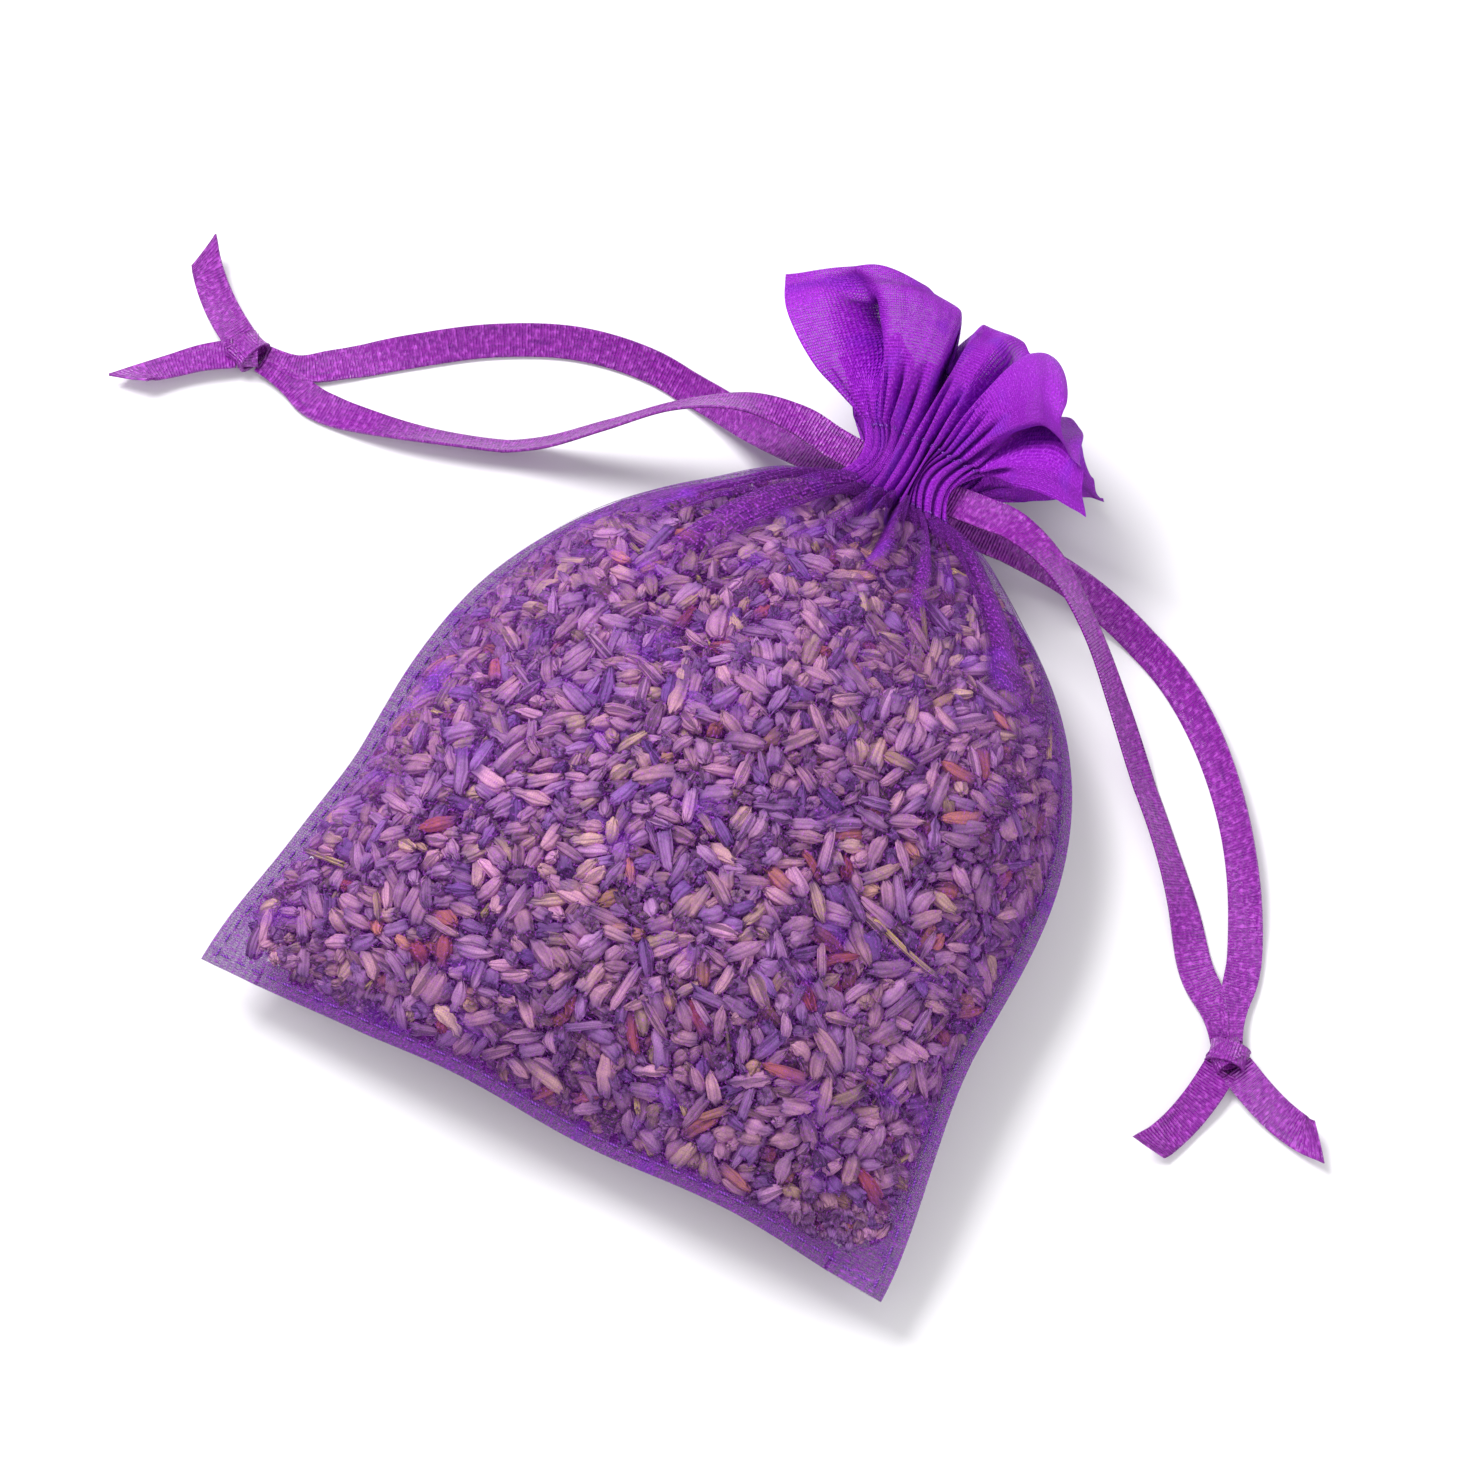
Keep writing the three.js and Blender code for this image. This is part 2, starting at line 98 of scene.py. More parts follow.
# Seeds of the random shapes. Lumps, pleats and ruffles add 1 in front and take 1 off behind
SEAM_SEED = 3
LUMP_SEED = 17
PLEAT_SEED = 31
RUFFLE_SEED = 41
BUD_SEED = 2024

# Camera: angles in degrees, lengths in metres
VIEW_AZIMUTH = 28.1
VIEW_ELEVATION = 64.7
VIEW_DISTANCE = 0.9
VIEW_ACROSS = 0.184  # width of the frame at the object
VIEW_TARGET = (-0.003, 0.011, 0.012)


def srgb(red, green, blue):
    """Colour as the shaders take it, from screen values of 0 to 255."""
    levels = [c / 255 for c in (red, green, blue)]
    return [c / 12.92 if c <= 0.04045 else ((c + 0.055) / 1.055) ** 2.4 for c in levels] + [1.0]


def make_camera():
    data = bpy.data.cameras.new("camera")
    data.sensor_width = 36.0
    data.lens = data.sensor_width * VIEW_DISTANCE / VIEW_ACROSS
    camera = bpy.data.objects.new("camera", data)
    bpy.context.collection.objects.link(camera)
    a, e = math.radians(VIEW_AZIMUTH), math.radians(VIEW_ELEVATION)
    back = Vector((math.sin(a) * math.cos(e), -math.cos(a) * math.cos(e), math.sin(e)))
    camera.location = Vector(VIEW_TARGET) + back * VIEW_DISTANCE
    camera.rotation_mode = "QUATERNION"
    camera.rotation_quaternion = (-back).to_track_quat("-Z", "Y")
    bpy.context.scene.camera = camera


# Mesh building


def make_mesh(name, points, faces, material, uv=None, facts=None):
    """Mesh object from points in millimetres and faces of one size, with coordinates for its material."""
    faces = np.asarray(faces, dtype=np.int32)
    mesh = bpy.data.meshes.new(name)
    mesh.vertices.add(len(points))
    mesh.vertices.foreach_set("co", (np.asarray(points) * MM).astype(np.float32).ravel())
    mesh.loops.add(faces.size)
    mesh.loops.foreach_set("vertex_index", faces.ravel())
    mesh.polygons.add(len(faces))
    mesh.polygons.foreach_set("loop_start", np.arange(0, faces.size, faces.shape[1], dtype=np.int32))
    mesh.update(calc_edges=True)
    mesh.polygons.foreach_set("use_smooth", np.ones(len(faces), dtype=bool))
    if uv is not None:
        layer = mesh.uv_layers.new(name="cloth")
        layer.data.foreach_set("uv", np.asarray(uv, np.float32)[faces.ravel()].ravel())
    if facts is not None:
        attribute = mesh.attributes.new("facts", "FLOAT_COLOR", "POINT")
        attribute.data.foreach_set("color", np.asarray(facts, np.float32).ravel())
    mesh.materials.append(material)
    obj = bpy.data.objects.new(name, mesh)
    bpy.context.collection.objects.link(obj)
    return obj


def grid_faces(rows, columns):
    """Quads of a grid whose points run along each row in turn."""
    index = np.arange(rows * columns).reshape(rows, columns)
    corners = [index[:-1, :-1], index[:-1, 1:], index[1:, 1:], index[1:, :-1]]
    return np.stack([c.ravel() for c in corners], axis=1)


def spline(points, u):
    """Smooth curve through the points, at places u from 0 to 1 counted evenly from point to point."""
    points = np.asarray(points, float)
    ends = [2 * points[0] - points[1], 2 * points[-1] - points[-2]]
    padded = np.vstack([ends[0], points, ends[1]])
    place = np.clip(np.asarray(u, float), 0, 1) * (len(points) - 1)
    k = np.minimum(place.astype(int), len(points) - 2)
    f = (place - k)[:, None]
    a, b, c, d = (padded[k + i] for i in range(4))
    return 0.5 * (2 * b + (c - a) * f + (2 * a - 5 * b + 4 * c - d) * f**2 + (3 * b - a - 3 * c + d) * f**3)


def line_lengths(line):
    """Distance along a line of points to each of them."""
    return np.concatenate([[0], np.cumsum(np.linalg.norm(np.diff(line, axis=0), axis=1))])


def evenly(line, count):
    """The same line with its points equally far apart."""
    travelled = line_lengths(line)
    places = np.linspace(0, travelled[-1], count)
    return np.stack([np.interp(places, travelled, line[:, axis]) for axis in range(3)], axis=1)


def unit(vectors):
    return vectors / (np.linalg.norm(vectors, axis=-1, keepdims=True) + 1e-9)


def smoothstep(x, low, high):
    k = np.clip((x - low) / (high - low), 0, 1)
    return k * k * (3 - 2 * k)


def ripples(x, y, seed, shortest, longest, count=9):
    """Irregular smooth waves over a plane, about one unit high, with wavelengths in millimetres."""
    rng = np.random.default_rng(seed)
    total = 0.0
    for _ in range(count):
        angle, phase = rng.uniform(0, 2 * np.pi, 2)
        pace = 2 * np.pi / rng.uniform(shortest, longest)
        total = total + np.sin(pace * (x * np.cos(angle) + y * np.sin(angle)) + phase)
    return total / math.sqrt(count)


# Materials
THREAD_PITCH = 0.36  # organza yarns, millimetres apart
RIB_PITCH = 0.4  # fine ribs across the satin
BUD_RIBS = 8


class Look:
    """A new material, with short ways to add nodes to it."""

    def __init__(self, name):
        self.material = bpy.data.materials.new(name)
        self.material.use_nodes = True
        self.tree = self.material.node_tree
        self.shader = next(n for n in self.tree.nodes if n.type == "BSDF_PRINCIPLED")

    def feed(self, made, inputs):
        """Links a node's inputs to sockets, or sets them to plain values."""
        for key, value in inputs.items():
            if isinstance(value, bpy.types.NodeSocket):
                self.tree.links.new(value, made.inputs[key])
            else:
                made.inputs[key].default_value = value

    def node(self, kind, inputs=(), **settings):
        """New node with its inputs fed, by name or by number."""
        made = self.tree.nodes.new(kind)
        for key, value in settings.items():
            setattr(made, key, value)
        self.feed(made, dict(inputs))
        return made

    def surface(self, inputs):
        """The material, with its shader's inputs fed."""
        self.feed(self.shader, inputs)
        return self.material

    def maths(self, operation, *values, **settings):
        """Output of a sum of sockets and numbers."""
        return self.node("ShaderNodeMath", enumerate(values), operation=operation, **settings).outputs[0]

    def above(self, value, threshold, gain):
        """How far a socket is over a threshold, times a gain, kept from 0 to 1."""
        return self.maths("MULTIPLY", self.maths("SUBTRACT", value, threshold), gain, use_clamp=True)

    def wave(self, value, pitch):
        """Sine wave over a socket."""
        return self.maths("SINE", self.maths("MULTIPLY", value, 2 * math.pi / pitch))

    def blended(self, factor, low, high, kind="MIX"):
        """Colour from two colours or colour sockets, by a factor socket or number."""
        made = self.node("ShaderNodeMix", data_type="RGBA", blend_type=kind)
        colours = [k for k, socket in enumerate(made.inputs) if socket.type == "RGBA"]
        self.feed(made, dict(zip(["Factor", *colours], (factor, low, high))))
        return next(s for s in made.outputs if s.type == "RGBA")

    def facts(self):
        """Sockets for the three values that a mesh carries at each of its points."""
        carried = self.node("ShaderNodeAttribute", attribute_name="facts")
        return self.node("ShaderNodeSeparateColor", {0: carried.outputs["Color"]}).outputs

    def flat_coordinates(self):
        """Sockets for the place on the flat piece: across it, along it and both together."""
        place = self.node("ShaderNodeUVMap", uv_map="cloth").outputs[0]
        split = self.node("ShaderNodeSeparateXYZ", {0: place})
        return split.outputs[0], split.outputs[1], place

    def noise_over(self, coordinates, stretch, detail=3.0):
        """Noise socket over flat coordinates, with its own scale each way."""
        mapping = self.node("ShaderNodeMapping", {"Vector": coordinates, "Scale": (*stretch, 1.0)})
        inputs = {"Vector": mapping.outputs[0], "Scale": 1.0, "Detail": detail}
        return self.node("ShaderNodeTexNoise", inputs).outputs["Fac"]

    def ramp(self, factor, stops):
        """Colour ramp over a factor socket."""
        made = self.node("ShaderNodeValToRGB", {0: factor})
        elements = made.color_ramp.elements
        while len(elements) < len(stops):
            elements.new(0.5)
        for element, (position, colour) in zip(elements, stops):
            element.position = position
            element.color = srgb(*colour)
        return made.outputs[0]

    def bump(self, height, depth):
        """Normal socket of a relief, with its depth in millimetres."""
        return self.node("ShaderNodeBump", {"Height": height, "Distance": depth * MM}).outputs[0]


def organza(name, cover, deep, light, creased):
    """Sheer woven cloth: violet yarns with open gaps, denser where it is seen edge on or lies in a tuck, with
    painted glints and patches of painted sheen.
    """
    look = Look(name)
    across, along, place = look.flat_coordinates()
    weave = look.maths("MAXIMUM", look.wave(across, THREAD_PITCH), look.wave(along, THREAD_PITCH))
    slub = look.noise_over(place, (0.5, 2.0))
    speck = look.noise_over(place, (2.7, 2.7), 2.0)
    crease = look.noise_over(place, (0.4, 0.014), 1.0)
    broad = look.noise_over(place, (0.1, 0.17), 2.0)
    # Painted glints: sparse bright specks in the colour and the cover, standing in for light catching the
    # yarns.
    glint = look.above(speck, 0.54, 6.0)
    # Painted sheen: broad patches where the cloth turns a brighter violet and grows denser, standing in for
    # light on its folds.
    sheen_patch = look.above(broad, 0.57, 7.0)
    tuck = look.facts()[0]
    yarn = look.blended(look.above(speck, 0.35, 3.0), srgb(*deep), srgb(*light))
    with_sheen = look.blended(look.maths("MULTIPLY", sheen_patch, 0.6), yarn, srgb(130, 34, 206))
    edge_on = look.node("ShaderNodeLayerWeight", {"Blend": 0.3}).outputs["Facing"]
    sheen_cover = look.maths("MULTIPLY", sheen_patch, speck)
    alpha = cover - 0.1
    for value, share in ((weave, 0.1), (edge_on, 0.6), (slub, 0.2), (sheen_cover, 0.4), (tuck, 0.7)):
        alpha = look.maths("MULTIPLY_ADD", value, share, alpha)
    grain = look.maths("MULTIPLY_ADD", speck, 4.0, weave)
    return look.surface({
        "Base Color": look.blended(look.maths("MULTIPLY", glint, 0.45), with_sheen, srgb(206, 104, 244)),
        "Alpha": look.maths("MULTIPLY_ADD", glint, 0.34, alpha, use_clamp=True),
        "Roughness": look.maths("MULTIPLY_ADD", speck, 0.5, 0.35),
        "Specular IOR Level": 0.3,
        "Sheen Weight": 0.12,
        "Sheen Roughness": 0.4,
        "Sheen Tint": srgb(190, 90, 255),
        "Normal": look.bump(look.maths("MULTIPLY_ADD", crease, creased, grain), 0.07),
    })


def satin():
    """Woven ribbon: fine ribs across it, corded edges, a grain with painted glints and a directional gloss.
    """
    look = Look("satin_ribbon")
    across, along, place = look.flat_coordinates()
    lines = look.noise_over(place, (4.0, 0.35), 2.0)
    speck = look.noise_over(place, (3.0, 1.7), 2.0)
    colour = look.blended(lines, srgb(84, 4, 112), srgb(156, 28, 172))
    # Painted glints: bright specks mixed into the colour where the grain would catch the light.
    sparkle = look.maths("MULTIPLY", look.above(speck, 0.5, 5.0), 0.5)
    edge = look.maths("POWER", look.maths("ABSOLUTE", across), 6.0)
    relief = look.maths("MULTIPLY_ADD", edge, 3.0, look.wave(along, RIB_PITCH))
    return look.surface({
        "Base Color": look.blended(sparkle, colour, srgb(216, 96, 236)),
        "Roughness": look.maths("MULTIPLY_ADD", speck, 0.4, 0.12),
        "Specular IOR Level": 0.6,
        "Anisotropic": 0.5,
        "Sheen Weight": 0.1,
        "Sheen Roughness": 0.3,
        "Sheen Tint": srgb(255, 140, 255),
        "Normal": look.bump(look.maths("MULTIPLY_ADD", speck, 5.0, relief), 0.06),
    })


def sewing_thread():
    """Twisted thread, with painted shade darkening the grooves between its plies."""
    look = Look("sewing_thread")
    across, along, _ = look.flat_coordinates()
    strands = look.maths("SINE", look.maths("MULTIPLY_ADD", along, 12.0, across))
    return look.surface({
        # Painted shade: the colour darkens in the grooves of the twist, in step with its relief.
        "Base Color": look.blended(strands, srgb(90, 16, 140), srgb(150, 70, 196)),
        "Roughness": 0.5,
        "Normal": look.bump(strands, 0.04),
    })


BUD_COLOURS = [
    (0.00, (120, 80, 160)),
    (0.14, (164, 118, 180)),
    (0.32, (188, 138, 182)),
    (0.50, (198, 142, 176)),
    (0.66, (204, 152, 168)),
    (0.78, (208, 170, 148)),
    (0.84, (196, 118, 110)),
    (0.91, (150, 62, 78)),
    (0.94, (222, 188, 128)),
    (1.00, (208, 176, 116)),
]


def dried_bud():
    """Ribbed calyx: each bud has its own hue and lightness, darkened as painted shade where it lies deep in
    the heap, bluer at the tip, with painted shade in its furrows.
    """
    look = Look("lavender_bud")
    hue, value, along = look.facts()
    around, _, place = look.flat_coordinates()
    tip = look.maths("MULTIPLY", look.maths("POWER", along, 3.0), 0.75)
    body = look.blended(tip, look.ramp(hue, BUD_COLOURS), srgb(88, 62, 128))
    ribs = look.wave(around, 1 / BUD_RIBS)
    speck = look.noise_over(place, (5.0, 3.5))
    # The value brought in carries painted shade: buds lying deeper in the heap come darker.
    mottled_and_shaded = look.maths("MULTIPLY_ADD", speck, 0.9, value)
    # Painted shade: the colour darkens in the furrows between the ribs, in step with their relief.
    level = look.maths("MAXIMUM", look.maths("MULTIPLY_ADD", ribs, 0.07, mottled_and_shaded), 0.15)
    grey = look.node("ShaderNodeCombineColor", enumerate(3 * [level])).outputs[0]
    return look.surface({
        "Base Color": look.blended(1.0, body, grey, "MULTIPLY"),
        "Roughness": 0.75,
        "Specular IOR Level": 0.25,
        "Normal": look.bump(look.maths("MULTIPLY_ADD", speck, 3.0, ribs), 0.07),
    })


def heap_shade():
    """Shadowed depth of the heap behind the outer buds."""
    look = Look("heap_shade")
    place = look.node("ShaderNodeTexCoord").outputs["Object"]
    grain = look.node("ShaderNodeTexNoise", {"Vector": place, "Scale": 700.0}).outputs["Fac"]
    return look.surface({
        "Base Color": look.blended(grain, srgb(8, 1, 10), srgb(34, 12, 30)),
        "Roughness": 0.9,
        "Normal": look.bump(grain, 0.6),
    })


make_camera()
BODY_CLOTH = organza("organza_single", 0.09, (74, 2, 104), (134, 14, 168), 0.0)
# The heading's denser double layer has its own violet, with yarn lighter than the body's as painted light
# standing in for light passing through its folds.
HEADING_CLOTH = organza("organza_double", 0.9, (140, 8, 184), (170, 22, 212), 9.0)
SEAM_CLOTH = organza("organza_seam", 0.66, (80, 4, 114), (130, 16, 164), 0.0)
SATIN = satin()
THREAD = sewing_thread()
BUD = dried_bud()
# Painted shade: a dark sheet standing in for the shade deep inside the heap.
HEAP_SHADE = heap_shade()

# Drawstrings: routes from the neck to the knot, through the same points as the part's
LOOPS = {
    "left": {
        "side": -1,
        "knot": (-87, 34),
        "heading": 182,
        "front": [
            (-16, 51.8, 16.8), (-23, 50.6, 17.2), (-31, 47.6, 14), (-39, 43.4, 8.4),
            (-47, 39.2, 3.2), (-55.5, 35.8, 0.8), (-65, 33.2, 0.6), (-75, 32, 0.6),
        ],
        "back": [
            (-16, 52.2, 8), (-23, 53.6, 5.6), (-31, 55.8, 2.6), (-40, 57, 0.9),
            (-50, 55.4, 0.6), (-59.5, 50.8, 0.6), (-68.5, 44.4, 0.6), (-75.6, 38.8, 0.6),
        ],
    },
    "right": {
        "side": 1,
        "knot": (69.5, 5),
        "heading": 300,
        "front": [
            (16, 51.4, 16.2), (23, 49, 15.4), (30, 44.8, 11.6), (36.6, 39.6, 6.4),
            (43, 33.8, 2.2), (49, 27.8, 0.7), (55, 21.2, 0.6), (60.4, 14.4, 0.6),
        ],
        "back": [
            (16, 52.4, 8), (23, 53, 5.6), (31, 52.2, 2.6), (39.4, 49, 0.9),
            (47.4, 43.4, 0.6), (54.6, 36, 0.6), (60.6, 27.6, 0.6), (65.2, 18.6, 0.6),
        ],
    },
}
KNOT_REACH = 3.0  # from the knot's middle to where a ribbon goes into it
KNOT_LEVEL = 2.2  # height of its middle
KNOT_HALF_WIDTH = 2.1
KNOT_HALF_HEIGHT = 1.75
BAND_WIDTH = 2.7
BAND_THICKNESS = 0.34
TAIL_SLANT = 1.6  # one edge of the cut end ahead of its middle, the other behind


def knot_place(loop, forward, right, level):
    """Point near a knot, forwards along the way into it and to its right."""
    angle = math.radians(loop["heading"])
    x, y = loop["knot"]
    return (
        x + forward * math.cos(angle) + right * math.sin(angle),
        y + forward * math.sin(angle) - right * math.cos(angle),
        level,
    )


def strand_line(loop, which):
    """Middle line of one strand from inside its channel to its knot."""
    level = SIDES[which] * STRAND_LEVEL
    lane = loop["side"] * SIDES[which] * RIBBON_WIDTH * 0.3
    inside = [(loop["side"] * x, CHANNEL_MIDDLE_Y, SEAM_HEIGHT + level * 0.78) for x in (1.0, 6.0)]
    leaving = (loop["side"] * EXIT_X, CHANNEL_MIDDLE_Y, SEAM_HEIGHT + level)
    into = [knot_place(loop, -KNOT_REACH - 4, lane, 0.9), knot_place(loop, -KNOT_REACH + 1, lane * 0.6, 1.6)]
    return evenly(spline([*inside, leaving, *loop[which], *into], np.linspace(0, 1, 400)), 130)


def strip(name, line, wide, width=RIBBON_WIDTH, thickness=RIBBON_THICKNESS, slant=0.0):
    """Ribbon along a line of points, with the direction across it given at each point."""
    columns = np.linspace(-1, 1, 9)
    tangent = unit(np.gradient(line, axis=0))
    wide = unit(wide - tangent * np.sum(wide * tangent, axis=1, keepdims=True))
    normal = np.cross(wide, tangent)
    travelled = line_lengths(line)
    cut = smoothstep(travelled, travelled[-1] - 4, travelled[-1]) * slant
    edge = 0.5 * thickness * (1 + 0.5 * np.abs(columns) ** 8)
    cup = 0.13 * columns**2
    widths = np.broadcast_to(width, len(line))[:, None]
    middle = line[:, None] + wide[:, None] * (widths / 2 * columns)[..., None]
    middle += tangent[:, None] * (cut[:, None] * columns)[..., None]
    top = middle + normal[:, None] * (cup + edge)[:, None]
    low = middle + normal[:, None] * (cup - edge)[:, None]
    rings = np.concatenate([top, low[:, ::-1]], axis=1)
    count = rings.shape[1]
    index = np.arange(len(line) * count).reshape(-1, count)
    after = np.roll(index, -1, axis=1)
    sides = np.stack([index[:-1], after[:-1], after[1:], index[1:]], axis=-1).reshape(-1, 4)
    caps = []
    for ring, order in ((index[0], 1), (index[-1], -1)):
        for i in range(len(columns) - 1):
            caps.append([ring[i], ring[count - 1 - i], ring[count - 2 - i], ring[i + 1]][::order])
    across = np.concatenate([columns, columns[::-1]])
    uv = np.stack([np.tile(across, len(line)), np.repeat(travelled, count)], axis=1)
    return make_mesh(name, rings.reshape(-1, 3), np.vstack([sides, caps]), SATIN, uv=uv)


def rolled(line, angles):
    """Direction across a strip that is turned about its own line by angles in degrees from lying level."""
    tangent = unit(np.gradient(line, axis=0))
    across = unit(np.cross(tangent, UP))
    turn = np.radians(angles)[:, None]
    return across * np.cos(turn) + np.cross(across, tangent) * np.sin(turn)


def make_strand(hand, which):
    """One strand, lying flat at its ends and turned partly on edge round its bend."""
    loop = LOOPS[hand]
    line = strand_line(loop, which)
    along = np.linspace(0, 1, len(line))
    swing = {"front": 62, "back": -52}[which] * loop["side"]
    roll = swing * np.sin(np.pi * np.clip((along - 0.14) / 0.74, 0, 1)) * (1 + 0.3 * np.sin(9 * along))
    lift = np.abs(np.sin(np.radians(roll))) * RIBBON_WIDTH / 2 + RIBBON_THICKNESS
    line[:, 2] = np.maximum(line[:, 2], lift)
    width = RIBBON_WIDTH * (1 - 0.45 * smoothstep(along, 0.9, 1))
    obj = strip(f"{hand}_ribbon_{which}", line, rolled(line, roll), width)
    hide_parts(f"{hand}_strand_{which}", f"{hand}_run_{which}")
    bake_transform(obj)
    return obj, line


def make_knot(hand):
    """Tight knot, as two bands that cross over the joined strands, round a small inner turn."""
    loop = LOOPS[hand]
    turn = np.linspace(0, 2 * np.pi, 61)
    bands = []
    for tilt, size in ((0.9, 0.86), (-0.8, 1.0), (0.2, 0.52)):
        right = KNOT_HALF_WIDTH * size * np.cos(turn)
        level = KNOT_LEVEL + KNOT_HALF_HEIGHT * size * np.sin(turn)
        line = np.array([knot_place(loop, *place) for place in zip(tilt * np.cos(turn), right, level)])
        across = np.cross(np.gradient(line, axis=0), line - line.mean(axis=0))
        name = f"{hand}_knot_band_{len(bands) + 1}"
        bands.append(strip(name, line, across, BAND_WIDTH, BAND_THICKNESS))
        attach(bands[-1], f"{hand}_loop")
    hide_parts(f"{hand}_knot")
    return bands


def make_tail(hand, which):
    """Cut end of a ribbon beyond its knot."""
    loop = LOOPS[hand]
    way = loop["side"] * SIDES[which]
    spots = [(1.5, 1.0, 1.8), (5.0, 3.4, 1.7), (8.0, 6.0, 1.4), (10.5, 8.6, 1.8), (12.0, 10.6, 2.6)]
    points = [knot_place(loop, ahead, way * out, level) for ahead, out, level in spots]
    line = evenly(spline(points, np.linspace(0, 1, 80)), 28)
    roll = way * 34 * np.linspace(0.2, 1, len(line))
    obj = strip(f"{hand}_ribbon_tail_{which}", line, rolled(line, roll), slant=TAIL_SLANT)
    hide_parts(f"{hand}_tail_{which}")
    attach(obj, f"{hand}_loop")
    return obj


def make_drawstring(hand):
    knot = make_knot(hand)
    tails = [make_tail(hand, which) for which in ("front", "back")]
    for which, pieces in (("front", [*knot, *tails]), ("back", [])):
        strand, line = make_strand(hand, which)


def make_turn(hand):
    """Where a drawstring goes round from the front channel to the back one, at the far end of the neck."""
    side = -LOOPS[hand]["side"]
    bend = np.linspace(np.pi / 2, -np.pi / 2, 17)
    end = NECK_HALF * (1 - NECK_WAIST)
    x = np.concatenate([np.linspace(1, end, 8), end + TURN_LEVEL * np.cos(bend), np.linspace(end, 1, 8)])
    z = np.concatenate([np.full(8, TURN_LEVEL), TURN_LEVEL * np.sin(bend), np.full(8, -TURN_LEVEL)])
    line = evenly(np.stack([side * x, np.full_like(x, CHANNEL_MIDDLE_Y), SEAM_HEIGHT + z], axis=1), 60)
    across = np.tile([0.0, 1.0, 0.0], (len(line), 1))
    obj = strip(f"{hand}_ribbon_turn", line, across)
    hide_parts(f"{hand}_drawstring_turn")
    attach(obj, "bag")


for string_name in LOOPS:
    make_drawstring(string_name)
    make_turn(string_name)

# Shape of the cloth: s runs along the body, t across it from -1 to 1, side is 1 in front and -1 behind


def shoulder(s):
    return np.clip(1 - (1 - s) * BODY_LENGTH / SHOULDER_LENGTH, 0, 1)


def half_width(s):
    drawn = smoothstep(s * BODY_LENGTH, 0, WAIST_LENGTH)
    side = (BOTTOM_WIDTH + (WAIST_WIDTH - BOTTOM_WIDTH) * drawn) / 2
    return NECK_HALF + (side - NECK_HALF) * (1 - shoulder(s) ** 2.4) ** 0.7


def swell(s):
    foot = np.clip((s * BODY_LENGTH - FLANGE) / (FOOT_LENGTH - FLANGE), 0, 1)
    return np.sin(foot * np.pi / 2) ** 0.7 * (1 - shoulder(s) ** 2.6) ** 0.8


def arch(t):
    return np.sqrt(np.clip(1 - t * t, 0, 1))


def plump(side, x, y):
    """Greatest bulge at a place on the plan, with broad lumps of the filling and small ones of its buds."""
    along = np.sin((x + 0.4 * y) / LUMP_SPREAD)
    across = np.sin((y - 0.3 * x) / (1.3 * LUMP_SPREAD) + 1)
    bulge = CROWN if side > 0 else BELLY
    return bulge + LUMP_HEIGHT * (along + across) + 0.15 * ripples(x, y, LUMP_SEED + side, 3.5, 7)


def panel_height(side, s, t):
    """Body cloth off the seam plane, before its folds."""
    x = t * half_width(s)
    gather = shoulder(s)
    inner = half_width(s) - FLANGE * (1 - gather**2)
    body = plump(side, x, BOTTOM_Y + s * BODY_LENGTH) * swell(s) * arch(x / inner) ** 1.3
    mouth = (NECK_EDGE - CLOTH_GAP) * smoothstep(s, 0.92, 1) + NECK_RISE * gather**2 * arch(t)
    return CLOTH_GAP + body + mouth


def seam_level(s, t):
    """Height of the sewn edge: it waves a little, and the empty corners droop."""
    x = t * half_width(s)
    y = BOTTOM_Y + s * BODY_LENGTH
    corner = smoothstep(np.abs(t), 0.55, 1) * (1 - smoothstep(s, 0, 0.3))
    wave = 0.6 * ripples(x, y, SEAM_SEED, 18, 45) * (1 - shoulder(s))
    return SEAM_HEIGHT + wave - CORNER_DROOP * corner


def body_point(s, t, z):
    """Point at a height over a place on the body."""
    return np.stack([t * half_width(s), BOTTOM_Y + s * BODY_LENGTH, z], axis=-1)


def panel_point(side, s, t):
    z = seam_level(s, t) + side * panel_height(side, s, t)
    return body_point(s, t, np.maximum(z, TABLE_GAP))


def channel_point(side, q, t):
    """Drawstring tunnel, puffed between its two rows of stitching."""
    rise = NECK_EDGE + (NECK_RISE + 0.7 * np.sin(np.pi * q)) * arch(t)
    waist = 1 - NECK_WAIST * np.sin(np.pi * q)
    skew = 0.5 * np.sin(np.pi * q) * np.sin(9 * t + side)
    x = t * NECK_HALF * waist + skew
    return np.stack([x, NECK_Y + q * CHANNEL_LENGTH, SEAM_HEIGHT + side * rise], axis=-1)


# Heading: its free edge from left to right, from the middle of its foot, the way that it bows out, and how
# far its left side edge flares. In front a valley lies between a standing lobe and one that rolls over.
HEADINGS = {
    1: {
        "edge": [
            (-25, 11, 9), (-17, 14.5, 13), (-9.5, 16.3, 10), (-3.3, 15.1, 5), (1, 14.5, 4.5),
            (7, 11.5, 8), (15.4, 6.6, 15), (20.2, 2.2, 14), (22.3, -1.5, 9.5),
        ],
        "bow": (0, 0.85, 0.4),
        "flare": (-3.5, -1.5, 2),
    },
    -1: {
        "edge": [
            (-18, 12, -8), (-13, 16, -9), (-6, 17.5, -9.5), (2, 17, -9.5),
            (9, 14, -9), (14, 10, -8), (16.5, 6.5, -6.5),
        ],
        "bow": (0, 0.95, 0),
        "flare": (0, 0, 0),
    },
}


